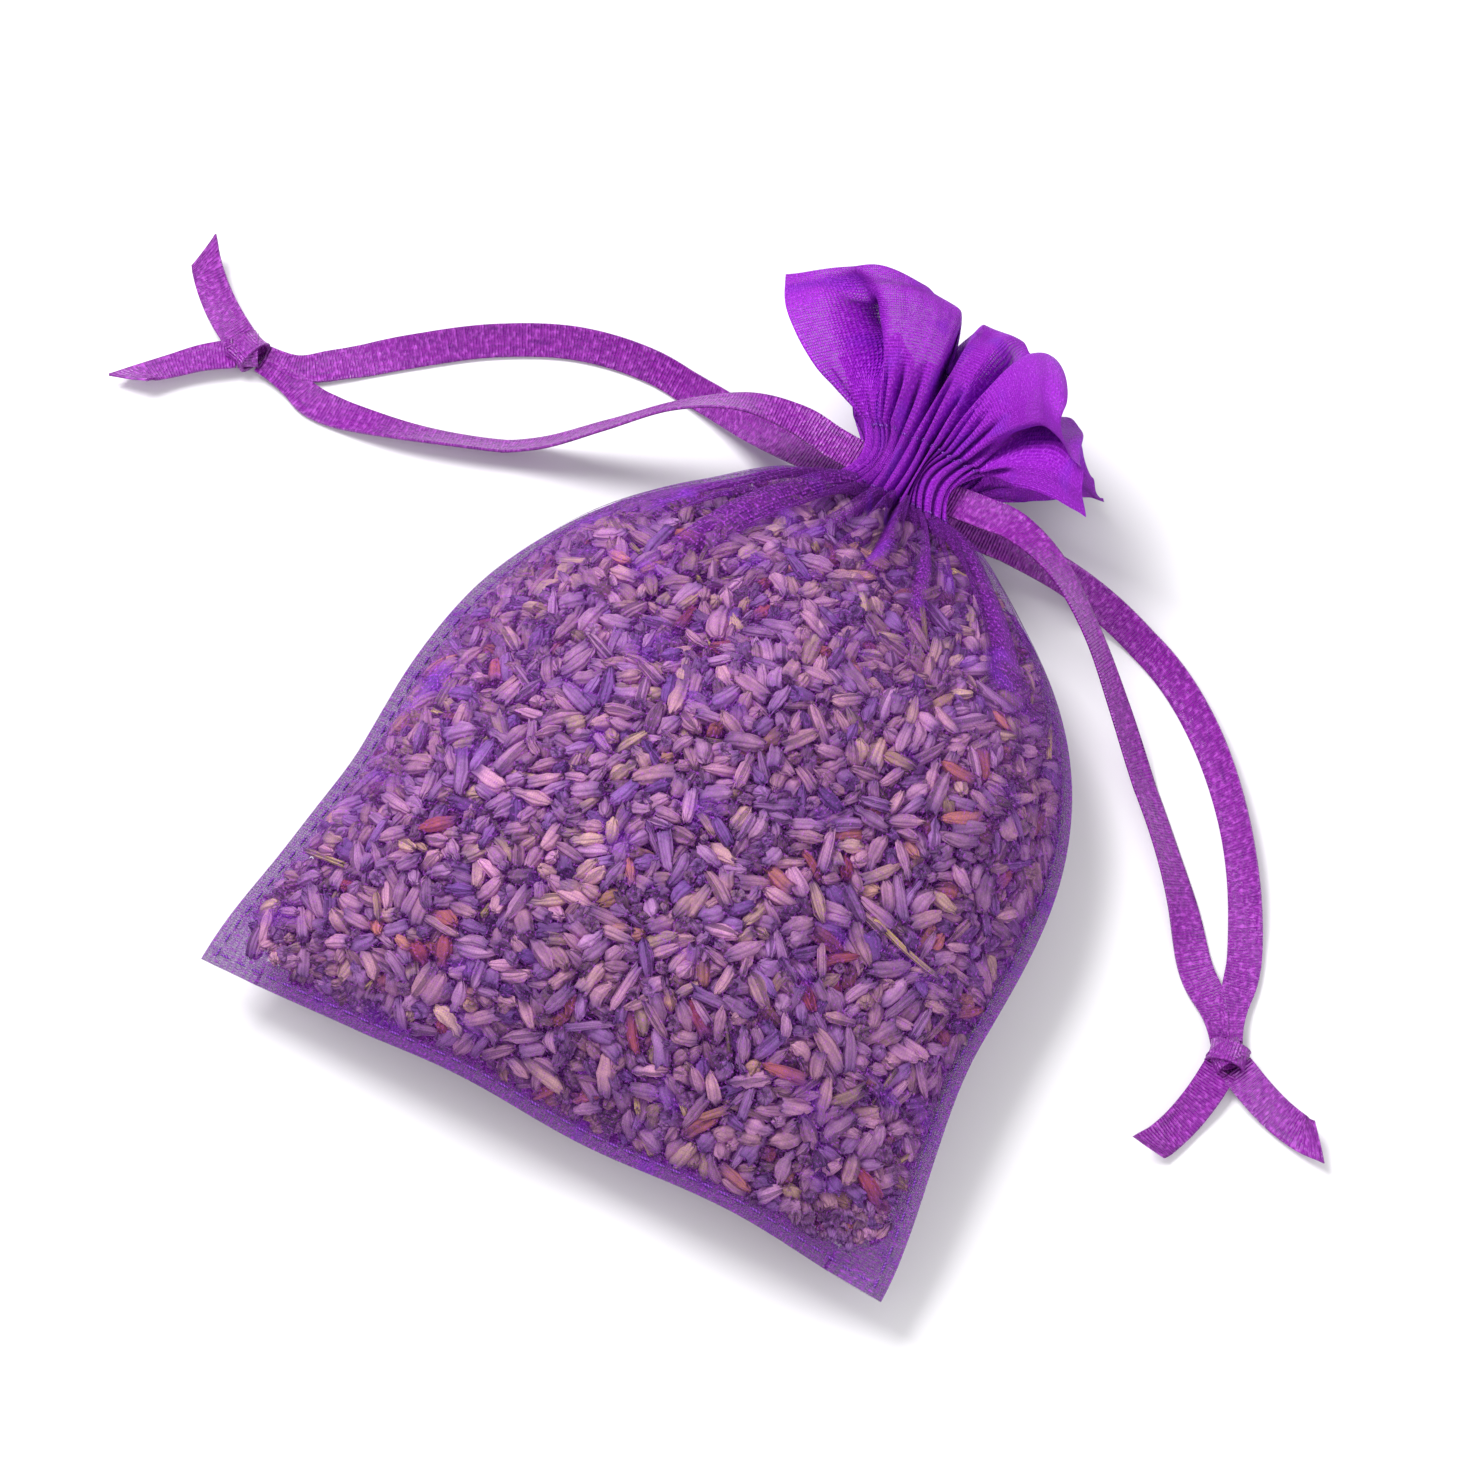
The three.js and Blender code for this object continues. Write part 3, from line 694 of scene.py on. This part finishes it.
def heading_point(side, v, t):
    """Ruffle above the tunnel: it bows out from its foot to the free edge, least along its two side edges."""
    foot = channel_point(side, np.ones_like(t), t)
    edge = spline(HEADINGS[side]["edge"], (t.ravel() + 1) / 2).reshape(foot.shape)
    run = edge + np.array([0, HEADING_Y, SEAM_HEIGHT]) - foot
    run *= np.maximum(1, SHORTEST_REACH * HEADING_LENGTH / np.linalg.norm(run, axis=-1))[..., None]
    chord = np.linalg.norm(run, axis=-1)
    rise = chord * np.sqrt(0.375 * np.maximum(HEADING_LENGTH / chord - 1, 0)) * np.sin(np.pi * v)
    rise *= 1 - 0.8 * t**4
    points = foot + run * v[..., None] + rise[..., None] * np.array(HEADINGS[side]["bow"])
    flare = np.sin(np.pi * v) * np.where(t < 0, t, 0) ** 4
    points += flare[..., None] * np.array(HEADINGS[side]["flare"])
    points[..., 2] += 0.3 * v * ripples(50 * t, 25 * v, RUFFLE_SEED + side, 6, 18)
    points[..., 2] = np.maximum(points[..., 2], 8 * TABLE_GAP)
    return points


COLUMNS = 0.55 * np.sin(np.linspace(-1, 1, 241) * np.pi / 2) + 0.45 * np.linspace(-1, 1, 241)
BODY_ROWS = (1 - np.cos(np.linspace(0, 1, 120) * np.pi)) / 2
CHANNEL_ROWS = np.linspace(0, 1, 14)
HEADING_ROWS = np.linspace(0, 1, 44)
CHANNEL_START = len(BODY_ROWS) - 1
HEADING_START = CHANNEL_START + len(CHANNEL_ROWS) - 1


def pleat_wave(seed):
    """Gathers of uneven width and depth across the cloth, flat at its two edges."""
    rng = np.random.default_rng(seed)
    ends = np.concatenate([[0], np.cumsum(rng.uniform(0.35, 1.65, PLEATS))])
    ends = 2 * ends / ends[-1] - 1
    phase = np.interp(COLUMNS, ends, np.pi * np.arange(len(ends)))
    depth = np.interp(COLUMNS, ends, rng.uniform(0.4, 1, len(ends)))
    return depth * (1 - 2 * np.sin(phase) ** 4) * np.clip(1 - COLUMNS**2, 0, 1) ** 0.25


def crease_wave(v):
    """Broad smooth lobes between narrow creases. Only the valley's crease stays deep at the free edge."""
    lobe = np.cos(np.pi * LOBES / 2 * (COLUMNS + LOBE_UNEVEN * np.sin(5 * COLUMNS)))
    valley = np.exp(-(((COLUMNS - VALLEY) / 0.2) ** 2))
    depth = 1 - 0.85 * (1 - valley) * smoothstep(v, 0.5, 1)
    return 0.3 - 2 * depth * (1 - lobe**2) ** 9


def gathers(side):
    """Folds of the whole cloth: tight at the neck, uneven in the body, broad at the free edge."""
    fine = pleat_wave(PLEAT_SEED + side)
    reach = GATHER_REACH + 10 * np.sin(11 * COLUMNS + side) + 6 * np.sin(23 * COLUMNS)
    below = (1 - BODY_ROWS[:, None]) * BODY_LENGTH
    body = fine * np.exp(-((below / reach) ** GATHER_FALL))
    v = HEADING_ROWS[1:, None]
    opened = smoothstep(v, 0, 0.34)
    ruffle = fine * (1 - opened) + crease_wave(v) * opened
    return np.concatenate([body, np.tile(fine, (len(CHANNEL_ROWS) - 1, 1)), ruffle])


def folded_cloth(side):
    """Whole front or back cloth. Its folds deepen, up to a limit, until a row is as long as the flat cut."""
    stretches = (
        (panel_point, BODY_ROWS),
        (channel_point, CHANNEL_ROWS[1:]),
        (heading_point, HEADING_ROWS[1:]),
    )
    grids = [point(side, *np.meshgrid(rows, COLUMNS, indexing="ij")) for point, rows in stretches]
    smooth = np.concatenate(grids)
    tangent = unit(np.gradient(smooth, axis=1))
    normal = unit(np.cross(tangent, np.gradient(smooth, axis=0)))
    folds = gathers(side)[..., None]
    offset = side * normal * folds + tangent * (0.35 * np.sin(2.2 * COLUMNS))[:, None] * folds
    deepest = np.concatenate([
        PLEAT_DEPTH * np.sqrt(shoulder(BODY_ROWS)),
        PLEAT_DEPTH * (1 - NECK_WAIST * np.sin(np.pi * CHANNEL_ROWS[1:])),
        PLEAT_DEPTH + (RUFFLE_DEPTH - PLEAT_DEPTH) * smoothstep(HEADING_ROWS[1:], 0, 0.3),
    ])
    low, high = np.zeros(len(smooth)), deepest
    for _ in range(14):
        depth = (low + high) / 2
        trial = smooth + offset * depth[:, None, None]
        short = np.linalg.norm(np.diff(trial, axis=1), axis=-1).sum(axis=1) < CLOTH_WIDTH
        low, high = np.where(short, depth, low), np.where(short, high, depth)
    points = smooth + offset * depth[:, None, None]
    points[..., 2] = np.maximum(points[..., 2], TABLE_GAP)
    return points, depth


# Tucks that run from the neck into the body: place across the cloth, width as a share of it, reach
TUCKS = [
    (-0.8, 0.1, 24), (-0.45, 0.06, 34), (-0.1, 0.03, 14),
    (0.12, 0.03, 17), (0.38, 0.03, 26), (0.74, 0.08, 26),
]


def tucked():
    """How far the cloth lies in tucks at each point of the body, with the other values left empty."""
    below = (1 - BODY_ROWS[:, None]) * BODY_LENGTH
    density = np.zeros((len(BODY_ROWS), len(COLUMNS)))
    for place, width, reach in TUCKS:
        wander = place + 0.03 * np.sin(below / 6 + 40 * place)
        density += np.exp(-(((COLUMNS - wander) / width) ** 2)) * (1 - smoothstep(below, 0.3 * reach, reach))
    return np.stack([np.clip(density, 0, 1).ravel()] + 3 * [np.zeros(density.size)], axis=1)


def cloth_piece(name, kind, node, grid, flat, material, facts=None):
    """Rows of the front or back cloth as one piece, with its weave running true to the flat cut."""
    rows, columns = grid.shape[:2]
    faces = grid_faces(rows, columns)[:, ::SIDES[name]]
    along, across = np.meshgrid(np.linspace(*flat, rows), COLUMNS * CLOTH_WIDTH / 2, indexing="ij")
    uv = np.stack([across.ravel(), along.ravel()], axis=1)
    obj = make_mesh(f"{name}_{kind}", grid.reshape(-1, 3), faces, material, uv=uv, facts=facts)
    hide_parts(f"{name}_{node}")
    return obj


def make_cloth(name):
    """Panel, tunnel and ruffle of one side. Returns the cloth's points and the depth of its folds."""
    grid, depth = folded_cloth(SIDES[name])
    panel_grid, tunnel_grid = grid[:CHANNEL_START + 1], grid[CHANNEL_START:HEADING_START + 1]
    panel = cloth_piece(name, "organza", "panel", panel_grid, (0, CLOTH_BODY), BODY_CLOTH, tucked())
    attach(panel, "bag")
    tunnel_end = CLOTH_BODY + CHANNEL_LENGTH
    tunnel = cloth_piece(name, "tunnel", "channel", tunnel_grid, (CLOTH_BODY, tunnel_end), HEADING_CLOTH)
    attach(tunnel, "bag")
    flat = (tunnel_end, tunnel_end + HEADING_LENGTH)
    ruffle = cloth_piece(name, "ruffle", "heading", grid[HEADING_START:], flat, HEADING_CLOTH)
    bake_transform(ruffle)
    return grid, depth[:CHANNEL_START + 1]


FRONT_GRID, FRONT_FOLDS = make_cloth("front")
BACK_GRID, BACK_FOLDS = make_cloth("back")

# Heap of buds: packed as short rods just inside the cloth, pushed apart until they hardly overlap
MAP_STEP = 0.5
MAP_HALF = 50.0
STEEPEST = 4  # slope of the cloth that the maps go up to
BUD_COUNT = 6400
BUD_PIECES = 4  # meshes that each half of the heap is shared out over
BUD_LENGTH = 4.4
BUD_RADIUS = 1.02
BUD_LAYER = 4.2  # depth that they fill under the cloth
BUD_GAP = 0.12  # buds off the cloth
SCATTER_HALF = 47.0
SCATTER_BATCH = 8000
PACK_STEPS = 70
PAIR_REACH = 5.6  # buds further apart than this don't meet


def height_maps():
    """Heights of the back and front cloth over the plan, under their folds, with the slopes of each."""
    ys = np.arange(BOTTOM_Y, NECK_Y + MAP_STEP, MAP_STEP)
    xs = np.arange(-MAP_HALF, MAP_HALF + MAP_STEP, MAP_STEP)
    y, x = np.meshgrid(ys, xs, indexing="ij")
    s = np.clip((y - BOTTOM_Y) / BODY_LENGTH, 0, 1)
    t = np.clip(x / half_width(s), -1, 1)
    fading = np.exp(-(((1 - s) * BODY_LENGTH / GATHER_REACH) ** GATHER_FALL))
    maps = []
    for side, folds in ((-1, BACK_FOLDS), (1, FRONT_FOLDS)):
        height = panel_height(side, s, t) - np.interp(s, BODY_ROWS, folds) * fading
        z = np.maximum(seam_level(s, t) + side * height, TABLE_GAP)
        rise, run = np.gradient(z, MAP_STEP)
        maps.append((z, np.clip(run, -STEEPEST, STEEPEST), np.clip(rise, -STEEPEST, STEEPEST)))
    return maps


MAPS = height_maps()


def cloth_at(face, x, y):
    """Height of the cloth and its inward direction at places on the plan, on the back (0) or front (1)."""
    i = np.clip((y - BOTTOM_Y) / MAP_STEP, 0, MAPS[0][0].shape[0] - 1.001)
    j = np.clip((x + MAP_HALF) / MAP_STEP, 0, MAPS[0][0].shape[1] - 1.001)
    row, column = i.astype(int), j.astype(int)
    fi, fj = i - row, j - column
    z, gx, gy = (
        m[row, column] * (1 - fi) * (1 - fj) + m[row + 1, column] * fi * (1 - fj)
        + m[row, column + 1] * (1 - fi) * fj + m[row + 1, column + 1] * fi * fj
        for m in MAPS[face]
    )
    inward = unit(np.stack([-gx, -gy, np.ones_like(gx)], axis=1)) * (1 if face == 0 else -1)
    return z, inward


def scatter_buds(rng):
    """First places of the buds, even over the cloth's area, front and back, and random in depth."""
    kept = []
    while sum(len(k) for k in kept) < BUD_COUNT:
        x = rng.uniform(-SCATTER_HALF, SCATTER_HALF, SCATTER_BATCH)
        y = rng.uniform(BOTTOM_Y, NECK_Y - 2, SCATTER_BATCH)
        room = cloth_at(1, x, y)[0] - cloth_at(0, x, y)[0]
        wide = half_width((y - BOTTOM_Y) / BODY_LENGTH) - FLANGE - 0.5
        for face in (0, 1):
            z, inward = cloth_at(face, x, y)
            depth = rng.uniform(0.8, BUD_LAYER, SCATTER_BATCH)
            points = np.stack([x, y, z], axis=1) + inward * depth[:, None]
            chance = rng.uniform(0, 3.5, SCATTER_BATCH) < np.minimum(1, room / 4) / np.abs(inward[:, 2])
            kept.append(points[(np.abs(x) < wide) & (room > 1.7) & chance])
    points = np.concatenate(kept)
    return points[rng.permutation(len(points))[:BUD_COUNT]]


def near_pairs(centres):
    tree = kdtree.KDTree(len(centres))
    for k, centre in enumerate(centres):
        tree.insert(centre, k)
    tree.balance()
    found = []
    for k, centre in enumerate(centres):
        found += [(k, n) for _, n, _ in tree.find_range(centre, PAIR_REACH) if n > k]
    return np.array(found)


def push_apart(centres, axes, halves, radii, pairs):
    """One round of moving overlapping rods off each other."""
    i, j = pairs[:, 0], pairs[:, 1]
    gap = centres[i] - centres[j]
    a = axes[i] * halves[i, None]
    b = axes[j] * halves[j, None]
    aa, bb, ab = np.sum(a * a, 1), np.sum(b * b, 1), np.sum(a * b, 1)
    ag, bg = np.sum(a * gap, 1), np.sum(b * gap, 1)
    first = np.clip((ab * bg - bb * ag) / (aa * bb - ab * ab + 1e-6), -1, 1)
    second = np.clip((ab * first + bg) / bb, -1, 1)
    first = np.clip((ab * second - ag) / aa, -1, 1)
    between = gap + a * first[:, None] - b * second[:, None]
    distance = np.linalg.norm(between, axis=1) + 1e-6
    overlap = np.maximum(radii[i] + radii[j] - distance, 0)
    push = between / distance[:, None] * (0.3 * overlap)[:, None]
    np.add.at(centres, i, push)
    np.add.at(centres, j, -push)
    np.add.at(axes, i, 0.2 * push * (first / halves[i])[:, None])
    np.add.at(axes, j, -0.2 * push * (second / halves[j])[:, None])
    axes /= np.linalg.norm(axes, axis=1, keepdims=True)


def way_inside(face, points, clearance):
    """Step that brings points at least that far under the cloth, on the back (0) or front (1)."""
    z, inward = cloth_at(face, points[:, 0], points[:, 1])
    depth = (points[:, 2] - z) * (1 if face == 0 else -1) * np.abs(inward[:, 2])
    return inward * np.clip(clearance - depth, 0, 1)[:, None]


def keep_inside(centres, axes, halves, radii):
    """Moves rods whose ends poke through the cloth back under it."""
    for end in (-1, 0, 1):
        for face in (0, 1):
            tip = centres + axes * (halves * end)[:, None]
            centres += 0.7 * way_inside(face, tip, radii + BUD_GAP)


def pack_buds(rng, centres, lengths, radii):
    """Moves the buds to their places and gives their directions, pressed flat against the cloth."""
    halves = lengths / 2 - 0.6 * radii
    face = (centres[:, 2] > SEAM_HEIGHT)[:, None]
    axes = rng.normal(size=(len(centres), 3))
    for step in range(PACK_STEPS):
        if step % 10 == 0:
            pairs = near_pairs(centres)
        inward = np.where(face, cloth_at(1, *centres[:, :2].T)[1], cloth_at(0, *centres[:, :2].T)[1])
        axes = unit(axes - 0.03 * inward * np.sum(axes * inward, axis=1, keepdims=True))
        centres -= 0.03 * inward
        push_apart(centres, axes, halves, radii * 0.84, pairs)
        keep_inside(centres, axes, halves, radii * 0.9)
    return axes


# Each form is a list of places along the bud and its thickness there, as shares of its length and radius
BUD_SIDES = 10
BUD_FORMS = {
    "open": [
        (0, 0.3), (0.05, 0.52), (0.2, 0.84), (0.45, 1), (0.75, 0.98), (0.93, 0.9), (1, 0.8), (0.86, 0.42),
    ],
    "closed": [
        (0, 0.25), (0.07, 0.55), (0.25, 0.9), (0.5, 1), (0.74, 0.9), (0.9, 0.64), (0.98, 0.34), (1, 0.1),
    ],
    "withered": [
        (0, 0.3), (0.06, 0.55), (0.2, 0.88), (0.4, 1), (0.6, 0.92), (0.72, 0.55), (0.86, 0.72), (1, 0.25),
    ],
    "stem": [
        (0, 0.3), (0.01, 0.38), (0.2, 0.36), (0.4, 0.4), (0.6, 0.37), (0.8, 0.4), (0.99, 0.38), (1, 0.3),
    ],
}
BUD_SHARES = [0.58, 0.2, 0.22]  # of all but the stems
STEM_KIND = len(BUD_SHARES)


def bud_form(profile):
    """Unit bud along x: its points, its triangles, and each point's place round and along it."""
    turn = np.arange(BUD_SIDES) / BUD_SIDES
    around = turn * 2 * np.pi
    teeth = np.cos(around * BUD_SIDES / 2)
    points, skin = [], []
    for place, radius in profile:
        ribbed = radius * (1 + 0.06 * teeth)
        end = place - 0.5 + 0.03 * teeth * (place > 0.92)
        points.append(np.stack([end, ribbed * np.cos(around), ribbed * np.sin(around)], axis=1))
        skin.append(np.stack([turn, np.full(BUD_SIDES, place)], axis=1))
    points.append(np.array([[-0.5, 0, 0], [profile[-1][0] - 0.5, 0, 0]]))
    skin.append(np.array([[0, 0], [0, 1.0]]))
    index = np.arange(len(profile) * BUD_SIDES).reshape(-1, BUD_SIDES)
    after = np.roll(index, -1, axis=1)
    strips = [
        np.stack([index[:-1], index[1:], after[:-1]], axis=-1).reshape(-1, 3),
        np.stack([after[:-1], index[1:], after[1:]], axis=-1).reshape(-1, 3),
    ]
    foot, tip = np.full(BUD_SIDES, index.size), np.full(BUD_SIDES, index.size + 1)
    caps = [np.stack([foot, index[0], after[0]], axis=1), np.stack([tip, after[-1], index[-1]], axis=1)]
    return np.concatenate(points), np.concatenate(strips + caps), np.concatenate(skin)


def lay_buds(rng):
    """Every bud's kind, colour, place, directions, size and bend, with more bits of stem near the neck and
    painted shade on the buds that lie deep.
    """
    centres = scatter_buds(rng)
    near_neck = smoothstep(centres[:, 1], NECK_Y - 36, NECK_Y - 12)
    stems = rng.uniform(size=BUD_COUNT) < 0.012 + 0.09 * near_neck
    kinds = np.where(stems, STEM_KIND, rng.choice(len(BUD_SHARES), BUD_COUNT, p=BUD_SHARES))
    stem_lengths = rng.uniform(6, 11, BUD_COUNT)
    lengths = np.where(stems, stem_lengths, rng.normal(BUD_LENGTH, 0.8, BUD_COUNT).clip(2.6, 6.4))
    radii = rng.normal(BUD_RADIUS, 0.14, BUD_COUNT).clip(0.65, 1.4)
    hues = np.where(stems, rng.uniform(0.94, 1, BUD_COUNT), rng.beta(1.6, 1.7, BUD_COUNT) * 0.93)
    values = rng.normal(0.55, 0.19, BUD_COUNT) + 0.2 * stems
    axes = pack_buds(rng, centres, lengths, radii)
    # Painted shade: buds that lie deeper under the cloth are given darker values, standing in for the shadow
    # of the buds above them.
    depths = [np.abs(cloth_at(face, *centres[:, :2].T)[0] - centres[:, 2]) for face in (0, 1)]
    values -= 0.3 * smoothstep(np.minimum(*depths), 1.6, 3.6)
    across = unit(np.cross(axes, rng.normal(size=(BUD_COUNT, 3))))
    return SimpleNamespace(
        kinds=kinds,
        tints=np.stack([hues, values], axis=1),
        centres=centres,
        directions=(axes, across, np.cross(axes, across)),
        sizes=np.stack([lengths, radii, radii * rng.uniform(0.7, 1.0, BUD_COUNT)], axis=1),
        bends=rng.normal(0, 0.25, BUD_COUNT) * radii,
    )


def bud_points(rng, buds, which, form):
    """Points of some buds of one form, each a little uneven, kept inside the cloth and off the table."""
    local = form * buds.sizes[which, None] * (1 + rng.normal(0, 0.1, (len(which), len(form), 1)))
    local[..., 1] += buds.bends[which, None] * form[:, 0] ** 2 * 4
    steps = [way[which, None] * local[..., k:k + 1] for k, way in enumerate(buds.directions)]
    placed = (buds.centres[which, None] + sum(steps)).reshape(-1, 3)
    for face in (0, 1):
        placed += way_inside(face, placed, BUD_GAP)
    placed[:, 2] = np.maximum(placed[:, 2], 2 * TABLE_GAP)
    return placed


def bud_piece(rng, name, buds, chosen):
    """One mesh of the chosen buds."""
    points, faces, skins, facts = [], [], [], []
    for kind, profile in enumerate(BUD_FORMS.values()):
        form, triangles, skin = bud_form(profile)
        which = np.flatnonzero(chosen & (buds.kinds == kind))
        base = sum(len(p) for p in points) + np.arange(len(which)) * len(form)
        points.append(bud_points(rng, buds, which, form))
        faces.append((triangles + base[:, None, None]).reshape(-1, 3))
        skins.append((skin + 0.37 * which[:, None, None]).reshape(-1, 2))
        own = buds.tints[which][:, None].repeat(len(form), axis=1)
        along = np.tile(skin[None, :, 1:], (len(which), 1, 1))
        facts.append(np.concatenate([own, along, np.ones_like(along)], axis=2).reshape(-1, 4))
    points, faces, skins, facts = map(np.concatenate, (points, faces, skins, facts))
    obj = make_mesh(name, points, faces, BUD, uv=skins, facts=facts)
    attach(obj, "bag")


def make_buds():
    """All buds, as a front and a back half of the heap."""
    rng = np.random.default_rng(BUD_SEED)
    buds = lay_buds(rng)
    front = buds.centres[:, 2] > SEAM_HEIGHT
    shares = np.arange(BUD_COUNT) % BUD_PIECES
    for name, half in (("front", front), ("back", ~front)):
        for share in range(BUD_PIECES):
            bud_piece(rng, f"{name}_buds_{share + 1}", buds, half & (shares == share))


def make_core():
    """Painted shade: a dark sheet inside the heap, under the layer of buds, standing for the shadowed depths
    between them.
    """
    rows = (1 - np.cos(np.linspace(0.18, 0.86, 40) * np.pi)) / 2
    columns = np.sin(np.linspace(-1, 1, 50) * np.pi / 2) * 0.86
    s, t = np.meshgrid(rows, columns, indexing="ij")
    sheets = []
    for side in (1, -1):
        height = np.maximum(panel_height(side, s, t) - BUD_LAYER, 0.05)
        z = np.maximum(seam_level(s, t) + side * height, BUD_LAYER)
        sheets.append(body_point(s, t, z).reshape(-1, 3))
    faces = grid_faces(*s.shape)
    index = np.arange(s.size).reshape(s.shape)
    rim = np.concatenate([index[0, :-1], index[:-1, -1], index[-1, :0:-1], index[:0:-1, 0]])
    after = np.roll(rim, -1)
    wall = np.stack([rim + s.size, after + s.size, after, rim], axis=1)
    faces = np.vstack([faces, faces[:, ::-1] + s.size, wall])
    obj = make_mesh("heap_shade", np.concatenate(sheets), faces, HEAP_SHADE)
    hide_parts("lavender_fill")
    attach(obj, "bag")


make_buds()
make_core()

# Seams and stitching
SEAM_PITCH = 2.2  # one stitch and the gap after it
CHANNEL_PITCH = 1.5
STITCH_TAPER = (0.35, 0.9, 1.0, 0.9, 0.35)  # thickness along a stitch, as a share of the thread's
THREAD_RADIUS = 0.16
THREAD_SIDES = 6
THREAD_LIFT = 0.12  # thread's middle off the cloth


def seam_edge(s, t):
    """Points in the seam plane."""
    return body_point(s, t, seam_level(s, t))


def seam_band(name, outer, inner, node):
    """Sewn allowance between the panels' edges."""
    count = len(outer)
    uv = np.stack([np.tile([0, SEAM_ALLOWANCE], count), np.repeat(line_lengths(outer), 2)], axis=1)
    points = np.stack([outer, inner], axis=1).reshape(-1, 3)
    obj = make_mesh(name, points, grid_faces(count, 2), SEAM_CLOTH, uv=uv)
    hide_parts(node)
    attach(obj, "bag")


def stitches(name, line, up, pitch, node=None):
    """Row of short thread stitches along a line of points."""
    rings = len(STITCH_TAPER)
    count = rings * THREAD_SIDES
    steps = int(line_lengths(line)[-1] / pitch)
    line = evenly(line, (rings + 1) * steps + 1) + up * THREAD_LIFT
    taper = np.array(STITCH_TAPER) * THREAD_RADIUS
    around = np.arange(THREAD_SIDES) / THREAD_SIDES * 2 * np.pi
    points, faces = [], []
    for k in range(steps):
        piece = line[(rings + 1) * k:][:rings]
        tangent = unit(np.gradient(piece, axis=0))
        wide = unit(np.cross(tangent, up))
        high = np.cross(wide, tangent)
        ring = wide[:, None] * np.cos(around)[:, None] + high[:, None] * np.sin(around)[:, None]
        points.append((piece[:, None] + ring * taper[:, None, None]).reshape(-1, 3))
        index = count * k + np.arange(count).reshape(rings, THREAD_SIDES)
        after = np.roll(index, -1, axis=1)
        faces.append(np.stack([index[:-1], index[1:], after[1:], after[:-1]], axis=-1).reshape(-1, 4))
    along = np.repeat(np.arange(rings) * pitch / rings, THREAD_SIDES)
    uv = np.stack([np.tile(around, rings * steps), np.tile(along, steps)], axis=1)
    obj = make_mesh(name, np.concatenate(points), np.concatenate(faces), THREAD, uv=uv)
    if node:
        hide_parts(node)
    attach(obj, "bag")


def make_seams():
    """Sewn bands down both sides and along the bottom, wider in the corners, each with a row of stitches."""
    s = np.linspace(0, 0.95, 90)
    rows = np.linspace(0.01, 0.93, 300)
    allowance = SEAM_ALLOWANCE + CORNER_FOLD * (1 - smoothstep(s, 0, 0.16))
    for side, name in ((1, "right"), (-1, "left")):
        edges = [seam_edge(s, side * (1 - inset / half_width(s))) for inset in (0, allowance)]
        seam_band(f"{name}_seam_band", *edges, f"{name}_side_seam")
        sewn = seam_edge(rows, side * (1 - 0.8 * FLANGE / half_width(rows)))
        stitches(f"{name}_seam_thread", sewn + CLOTH_GAP * UP, UP, SEAM_PITCH)
    t = np.linspace(-1, 1, 120) * (1 - (SEAM_ALLOWANCE + CORNER_FOLD - 0.5) / half_width(0))
    edges = [seam_edge(np.full_like(t, inset / BODY_LENGTH), t) for inset in (0, SEAM_ALLOWANCE)]
    seam_band("bottom_seam_band", *edges, "bottom_seam")
    t = np.linspace(-1, 1, 120) * (1 - FLANGE / half_width(0))
    sewn = seam_edge(np.full_like(t, 0.8 * FLANGE / BODY_LENGTH), t)
    stitches("bottom_seam_thread", sewn + CLOTH_GAP * UP, UP, SEAM_PITCH)


def make_channel_stitches():
    """Two rows on each side of the neck, which stop a little short of the cloth's side edges."""
    for name, grid in (("front", FRONT_GRID), ("back", BACK_GRID)):
        for row, place in (("lower", CHANNEL_START + 1), ("upper", HEADING_START - 1)):
            node = f"{name}_{row}_stitches"
            stitches(f"{name}_{row}_thread", grid[place, 8:-8], SIDES[name] * UP, CHANNEL_PITCH, node)


make_seams()
make_channel_stitches()

# Stage: each lamp's place and size in metres, and its power in watts
LAMPS = {"key": ((-0.38, 0.1, 0.62), 0.34, 6.0), "fill": ((0.55, -0.35, 0.5), 0.6, 3.0)}
SKY_STRENGTH = 0.58
FLOOR_SIZE = 6.0


def make_stage():
    """Pale floor, a soft key light, a weak fill and an even sky."""
    bpy.ops.mesh.primitive_plane_add(size=FLOOR_SIZE)
    floor = bpy.context.object
    floor.name = "floor"
    paint = Look("floor_paint").surface({"Base Color": srgb(236, 235, 238), "Roughness": 0.85})
    floor.data.materials.append(paint)
    for name, (place, size, power) in LAMPS.items():
        data = bpy.data.lights.new(name, "AREA")
        data.size = size
        data.energy = power
        lamp = bpy.data.objects.new(name, data)
        bpy.context.collection.objects.link(lamp)
        lamp.location = place
        lamp.rotation_mode = "QUATERNION"
        lamp.rotation_quaternion = (Vector((0, 0, 0.01)) - lamp.location).to_track_quat("-Z", "Y")
    world = bpy.data.worlds.new("sky")
    bpy.context.scene.world = world
    world.use_nodes = True
    sky = world.node_tree.nodes["Background"]
    sky.inputs["Color"].default_value = (1.0, 1.0, 1.0, 1.0)
    sky.inputs["Strength"].default_value = SKY_STRENGTH
    bpy.context.scene.view_settings.view_transform = "Standard"
    bpy.context.scene.cycles.transparent_max_bounces = 32


make_stage()

bpy.context.view_layer.update()
